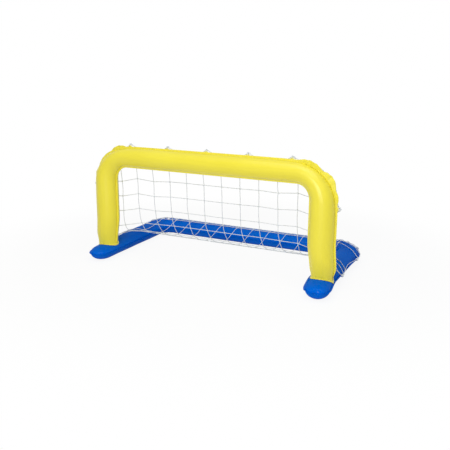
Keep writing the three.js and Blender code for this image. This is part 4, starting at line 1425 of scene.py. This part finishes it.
def tab_bmesh(place):
    """A rounded tab: its hole's ring, a wider ring that runs down to the seam, and an eyelet."""
    bm = bmesh.new()
    bmesh.ops.create_circle(bm, segments=TAB_SIDES, radius=TAB_HOLE_RADIUS)
    rim = list(bm.edges)
    outer_radius = TAB_HOLE_RADIUS + TAB_MARGIN
    for grow in (EYELET_INNER, EYELET_OUTER, TAB_MARGIN):
        radius = TAB_HOLE_RADIUS + grow
        grown = bmesh.ops.extrude_edge_only(bm, edges=rim)["geom"]
        verts = [g for g in grown if isinstance(g, bmesh.types.BMVert)]
        rim = [g for g in grown if isinstance(g, bmesh.types.BMEdge)]
        for vert in verts:
            vert.co = vert.co.normalized() * radius
            if radius == outer_radius and vert.co.y < 0:
                spread = -vert.co.y / outer_radius
                vert.co.x *= 1 + spread * (TAB_HALF_WIDTH / outer_radius - 1)
                width = min(abs(vert.co.x) * TAB_FLARE, TAB_HALF_WIDTH)
                vert.co.x = math.copysign(width, vert.co.x)
                vert.co.y = -spread * (TAB_HOLE_HEIGHT - TAB_OVERLAP)
    for vert in bm.verts:
        ring = (vert.co.xy.length - TAB_HOLE_RADIUS) / MM
        vert.co.z = EYELET_HEIGHT if ring < 1.2 else 0.0
    bmesh.ops.transform(
        bm, matrix=place @ Matrix.Translation((0, TAB_HOLE_HEIGHT, TAB_PLANE)), verts=bm.verts
    )
    bmesh.ops.recalc_face_normals(bm, faces=bm.faces)
    return bm


# %% [markdown]
# A short cord goes twice through the tab's hole and round the net's border and is knotted, and
# its two ends lie along the seam, one to each side. Turns, knot and ends are four routes in the
# seam's frame, made into cord like the net's. A seed for each tie varies its loops and ends a
# little, since no two hand-tied knots look alike.

# %% Ties
TIE_CORD = 3.6 * MM
TIE_END = {"arch": 11 * MM, "base": 19 * MM}
TIE_FALL = 7 * MM
TIE_TURNS = 2.15
TIE_TURN_STEPS = 60
TIE_START = math.radians(150)
TIE_SHIFT = 4.2 * MM
TIE_WOBBLE = 0.5 * MM
TIE_KNOT_TURNS = 1.2
TIE_KNOT_WIDTH = 2.6 * MM
TIE_KNOT_DEPTH = 2.0 * MM
TIE_KNOT_HEIGHT = 2.4 * MM
TIE_KNOT_STEPS = 24
TIE_END_STEPS = 8


def tie_routes(place, seed, end_length):
    """Two turns through the hole and round the border, a knot's turn, and two ends."""
    lean = Matrix.Translation((0, TIE_HEIGHT, TIE_SIDE))
    turns = []
    for i in range(TIE_TURN_STEPS + 1):
        angle = 2 * math.pi * TIE_TURNS * i / TIE_TURN_STEPS + TIE_START
        radius = TIE_RADIUS + TIE_WOBBLE * math.sin(3 * angle + seed)
        shift = (i / TIE_TURN_STEPS - 0.5) * TIE_SHIFT
        turns.append(Vector((shift, radius * math.sin(angle), radius * math.cos(angle))))
    knot_at = Vector((0, TIE_RADIUS * 0.75, TIE_RADIUS * 0.95))
    knot = []
    for i in range(TIE_KNOT_STEPS + 1):
        angle = 2 * math.pi * TIE_KNOT_TURNS * i / TIE_KNOT_STEPS
        rise = (i / TIE_KNOT_STEPS - 0.5) * TIE_KNOT_HEIGHT
        around = Vector((math.cos(angle) * TIE_KNOT_WIDTH, 0, math.sin(angle) * TIE_KNOT_DEPTH))
        knot.append(knot_at + around + Vector((0, rise, 0)))
    ends = []
    for way in (-1, 1):
        swing = 0.6 + 0.4 * math.sin(seed * 2.7 + way)
        path = []
        for i in range(TIE_END_STEPS + 1):
            s = i / TIE_END_STEPS
            curl = 0.2 * end_length * math.sin(3.5 * s + seed)
            drop = Vector((way * end_length * s, -TIE_FALL * s * s * swing, curl * s))
            path.append(knot_at + drop)
        ends.append(path)
    return [[place @ (lean @ p) for p in route] for route in (turns, knot, *ends)]


# %% [markdown]
# Now a tab and a tie are made at each place. The tabs are film of their chamber's colour, so
# they share the welded edge's material.

# %% Every tab and tie
for index, (place, on_arch) in enumerate(tie_places, start=1):
    tab_name = f"tie_tab_film_{index:02d}"
    chamber = "arch" if on_arch else "base"
    tab = finish_piece(
        tab_name, tab_bmesh(place), yellow_weld_painted_lighter if on_arch else blue_weld,
        replaces=[f"tie_tab_{index:02d}"],
    )
    thicken(tab, TAB_THICKNESS)
    tie_name = f"tie_cord_{index:02d}"
    tie_mesh = cord_mesh(tie_name, tie_routes(place, index, TIE_END[chamber]), TIE_CORD)
    finish_piece(
        tie_name, tie_mesh, white_cord, replaces=[f"net_tie_{index:02d}"]
    )
print("ties:", len(tie_places))

# %% [markdown]
# ## Valves
#
# Each chamber has a push-in valve: a seat welded on the film, a stem with a rim, and a cap with a
# plug on a strap. All three are turned shapes, so each starts as a profile, a few points in a
# plane, that is spun a full turn. The valve's own frame has z out of the tube and x away from the
# line that the cap folds on.

# %% Turned shapes
def spun(profile, segments=48):
    bm = bmesh.new()
    verts = [bm.verts.new((radius, 0, z)) for radius, z in profile]
    edges = [bm.edges.new(pair) for pair in zip(verts, verts[1:])]
    bmesh.ops.spin(
        bm, geom=verts + edges, cent=(0, 0, 0), axis=(0, 0, 1), angle=2 * math.pi,
        steps=segments, use_merge=True,
    )
    bmesh.ops.remove_doubles(bm, verts=bm.verts, dist=1e-6)
    bmesh.ops.recalc_face_normals(bm, faces=bm.faces)
    return bm


def rounded(points, radius, steps=4):
    """A profile with each inner corner cut by a small curve."""
    out = [Vector(points[0])]
    for before, at, after in zip(points, points[1:], points[2:]):
        at, before, after = Vector(at), Vector(before), Vector(after)
        reach = min(radius, (before - at).length / 2.2, (after - at).length / 2.2)
        a = at + (before - at).normalized() * reach
        b = at + (after - at).normalized() * reach
        for k in range(steps + 1):
            t = k / steps
            out.append(a * (1 - t) ** 2 + at * 2 * t * (1 - t) + b * t * t)
    out.append(Vector(points[-1]))
    return [(p.x, p.y) for p in out]


# %% [markdown]
# A valve's parts fit in each other, so they share one list of sizes. Heights are measured from
# the film. The stem is a little thinner than the seat's bore, and the cap's plug tapers, so that
# it finds its way into the stem.

# %% Valve sizes
SEAT_RADIUS = 14 * MM
SEAT_TOP = 1 * MM
SEAT_DEPTH = 2 * MM
BORE_RADIUS = 6.6 * MM
STEM_RADIUS = 6.1 * MM
RIM_RADIUS = 8 * MM
RIM_BOTTOM = 1.3 * MM
RIM_TOP = 2.5 * MM
STEM_LENGTH = 12 * MM
STEM_BORE = 2.9 * MM
CAP_BOTTOM = 2.8 * MM
CAP_TOP = 4.2 * MM
CAP_RADIUS = 7.6 * MM
PLUG_ROOT = 2.4 * MM
PLUG_TIP = 1.8 * MM
PLUG_LENGTH = 4 * MM
HINGE_OFFSET = 9 * MM
TONGUE_WIDTH = 4 * MM
EDGE_ROUND = 0.35 * MM

# %% [markdown]
# The three parts are profiles with their corners rounded by a third of a millimetre, as moulded
# vinyl has them. The stem and the cap also have a short strap each, a small bevelled box that
# ends at the line that the cap folds on.

# %% Valve parts
def tongue(bm, low, high, inner):
    """A short strap from a turned part to the line that the cap folds on."""
    size = Vector((HINGE_OFFSET - inner, TONGUE_WIDTH, high - low))
    made = bmesh.ops.create_cube(bm, size=1.0)["verts"]
    bmesh.ops.scale(bm, vec=size, verts=made)
    centre = (-(HINGE_OFFSET + inner) / 2, 0, (low + high) / 2)
    bmesh.ops.translate(bm, vec=centre, verts=made)
    edges = list({edge for vert in made for edge in vert.link_edges})
    bmesh.ops.bevel(
        bm, geom=edges, offset=0.25 * MM, offset_type="OFFSET", segments=2, profile=0.5,
        affect="EDGES", material=-1,
    )


def seat_bmesh():
    ridge = 0.4 * MM
    profile = [
        (BORE_RADIUS, -SEAT_DEPTH), (SEAT_RADIUS, -SEAT_DEPTH), (SEAT_RADIUS, SEAT_TOP / 3),
        (SEAT_RADIUS - 1.5 * MM, SEAT_TOP), (SEAT_RADIUS - 2.6 * MM, SEAT_TOP),
        (SEAT_RADIUS - 3.2 * MM, SEAT_TOP - ridge), (SEAT_RADIUS - 4.0 * MM, SEAT_TOP - ridge),
        (SEAT_RADIUS - 4.6 * MM, SEAT_TOP), (BORE_RADIUS, SEAT_TOP), (BORE_RADIUS, -SEAT_DEPTH),
    ]
    return spun(rounded(profile, EDGE_ROUND))


def stem_bmesh():
    bottom = RIM_TOP - STEM_LENGTH
    profile = [
        (STEM_BORE, bottom), (STEM_RADIUS - 0.6 * MM, bottom), (STEM_RADIUS, bottom + 2 * MM),
        (STEM_RADIUS, RIM_BOTTOM), (RIM_RADIUS, RIM_BOTTOM), (RIM_RADIUS, RIM_TOP),
        (STEM_BORE, RIM_TOP), (STEM_BORE, bottom),
    ]
    bm = spun(rounded(profile, EDGE_ROUND))
    tongue(bm, RIM_BOTTOM, RIM_TOP, STEM_RADIUS)
    return bm


def cap_bmesh():
    profile = [
        (0, CAP_BOTTOM - PLUG_LENGTH), (PLUG_TIP, CAP_BOTTOM - PLUG_LENGTH),
        (PLUG_ROOT, CAP_BOTTOM), (CAP_RADIUS, CAP_BOTTOM), (CAP_RADIUS, CAP_TOP),
        (CAP_RADIUS - 1.6 * MM, CAP_TOP), (CAP_RADIUS - 2.2 * MM, CAP_TOP - 0.35 * MM),
        (0, CAP_TOP - 0.35 * MM),
    ]
    bm = spun(rounded(profile, EDGE_ROUND))
    tongue(bm, CAP_BOTTOM, CAP_TOP, PLUG_ROOT + 2 * MM)
    return bm


# %% [markdown]
# One valve is low on the back of the right post, the other on the upper back of the rear tube,
# where the net hides neither. Their frames are worked out from the tubes.

# %% Valve places
ARCH_VALVE_Z = 207 * MM
BASE_VALVE_ANGLE = math.radians(35)


def valve_frame(origin, out, away):
    turn = Matrix((away, out.cross(away), out)).transposed().to_4x4()
    return Matrix.Translation(origin) @ turn


valve_cos, valve_sin = math.cos(BASE_VALVE_ANGLE), math.sin(BASE_VALVE_ANGLE)
base_out = Vector((0, valve_cos / BASE_HALF_WIDTH, valve_sin / BASE_HALF_HEIGHT)).normalized()
base_origin = Vector(
    (0, REAR_Y + BASE_HALF_WIDTH * valve_cos, BASE_Z + BASE_HALF_HEIGHT * valve_sin)
)
valves = {
    "arch": valve_frame(Vector((POST_X, ARCH_Y + TUBE_RADIUS, ARCH_VALVE_Z)), BACK, -UP),
    "base": valve_frame(base_origin, base_out, Vector((1, 0, 0))),
}
for chamber, place in valves.items():
    for part, make, body in (
        ("seat", seat_bmesh, "goal"),
        ("stem", stem_bmesh, f"{chamber}_stem"),
        ("cap", cap_bmesh, f"{chamber}_cap"),
    ):
        bm = make()
        bmesh.ops.transform(bm, matrix=place, verts=bm.verts)
        name = f"{chamber}_valve_{part}_moulded"
        finish_piece(
            name, bm, clear_vinyl, body, replaces=[f"{chamber}_valve_{part}"]
        )


# %% [markdown]
# ## Floor, light and background
#
# The goal stands on a plain white floor that reaches far out of the picture. For the camera the
# floor glows almost white by itself and only a share of its shading shows, so the shadows stay
# pale, as in the photograph; away from the goal the glow takes over. Everything else sees an
# ordinary matt floor, which throws soft light up under the tubes. Light Path's Is Camera, Is
# Glossy and Is Transmission Ray pick between the two.

# %% Floor
FLOOR_SIZE = 60.0
GLOW_FROM, GLOW_TO = 0.9, 1.8
GLOW_SHARE = 0.91


def seen_rays(tree):
    """1 for the rays that show the background: the camera's, reflected and transmitted ones."""
    rays = add_node(tree, "ShaderNodeLightPath").outputs
    seen = rays["Is Camera Ray"]
    for kind in ("Is Glossy Ray", "Is Transmission Ray"):
        seen = add_node(
            tree, "ShaderNodeMath", {0: seen, 1: rays[kind]}, operation="MAXIMUM"
        ).outputs["Value"]
    return seen


def floor_material():
    material, tree, output = new_material("studio_floor")
    place = add_node(tree, "ShaderNodeTexCoord").outputs["Object"]
    away = add_node(
        tree, "ShaderNodeVectorMath", {"Vector": place}, operation="LENGTH"
    ).outputs["Value"]
    reach = {"Value": away, "From Min": GLOW_FROM, "From Max": GLOW_TO}
    glow_share = add_node(
        tree, "ShaderNodeMapRange", {**reach, "To Min": GLOW_SHARE, "To Max": 1.0},
        interpolation_type="SMOOTHSTEP",
    ).outputs["Result"]
    share = add_node(
        tree, "ShaderNodeMath", {0: seen_rays(tree), 1: glow_share}, operation="MULTIPLY"
    ).outputs["Value"]
    matt = add_node(tree, "ShaderNodeBsdfDiffuse", {"Color": colour("#f4f4f3")})
    glow = add_node(tree, "ShaderNodeEmission", {"Color": colour("#ffffff"), "Strength": 1.0})
    mix = add_node(
        tree, "ShaderNodeMixShader",
        {"Fac": share, 1: matt.outputs["BSDF"], 2: glow.outputs["Emission"]},
    )
    tree.links.new(mix.outputs["Shader"], output.inputs["Surface"])
    return material


floor_bm = bmesh.new()
bmesh.ops.create_grid(floor_bm, x_segments=1, y_segments=1, size=FLOOR_SIZE / 2)
floor_mesh = to_mesh("studio_floor", floor_bm)
floor_mesh.materials.append(floor_material())
floor = new_object("studio_floor", floor_mesh)
floor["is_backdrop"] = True

# %% [markdown]
# The world is white for the camera and for what the surfaces reflect. For the rest it is a
# grey-white dome that lights the goal softly from all round. Two large lamps model the tubes: a
# key in front, whose soft reflection runs down each post, and a broad one overhead.

# %% World and lamps
DOME_STRENGTH = 0.38

world = bpy.data.worlds.new("studio")
world.use_nodes = True
bpy.context.scene.world = world
world_tree = world.node_tree
world_tree.nodes.clear()
world_output = world_tree.nodes.new("ShaderNodeOutputWorld")
white_back = add_node(
    world_tree, "ShaderNodeBackground", {"Color": colour("#ffffff"), "Strength": 1.0}
)
soft_fill = add_node(
    world_tree, "ShaderNodeBackground", {"Color": colour("#f6f8fb"), "Strength": DOME_STRENGTH}
)
world_mix = add_node(
    world_tree, "ShaderNodeMixShader",
    {
        "Fac": seen_rays(world_tree),
        1: soft_fill.outputs["Background"],
        2: white_back.outputs["Background"],
    },
)
world_tree.links.new(world_mix.outputs["Shader"], world_output.inputs["Surface"])


def area_lamp(name, place, target, width, height, power):
    data = bpy.data.lights.new(name, "AREA")
    data.shape = "RECTANGLE"
    data.size = width
    data.size_y = height
    data.energy = power
    lamp = new_object(name, data)
    lamp.location = place
    lamp.rotation_euler = (Vector(target) - Vector(place)).to_track_quat("-Z", "Y").to_euler()


area_lamp("key", (0.8, -3.8, 1.2), (0, 0, 0.5), 0.8, 1.6, 45)
area_lamp("top", (0.7, -1.3, 3.5), (0.1, 0, 0.3), 3.2, 2.8, 67)

# %% [markdown]
# The Standard view shows colours as they are written. Last, the dressed goal's box is gathered
# beside the box of the model that it dresses, and the dressed goal's box is printed.

# %% Finish
bpy.context.scene.view_settings.view_transform = "Standard"
boxes = {
    name: [list(corner) for corner in box] for name, box in (("cad", cad_box), ("visual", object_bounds()))
}
print("visual box:", boxes["visual"])
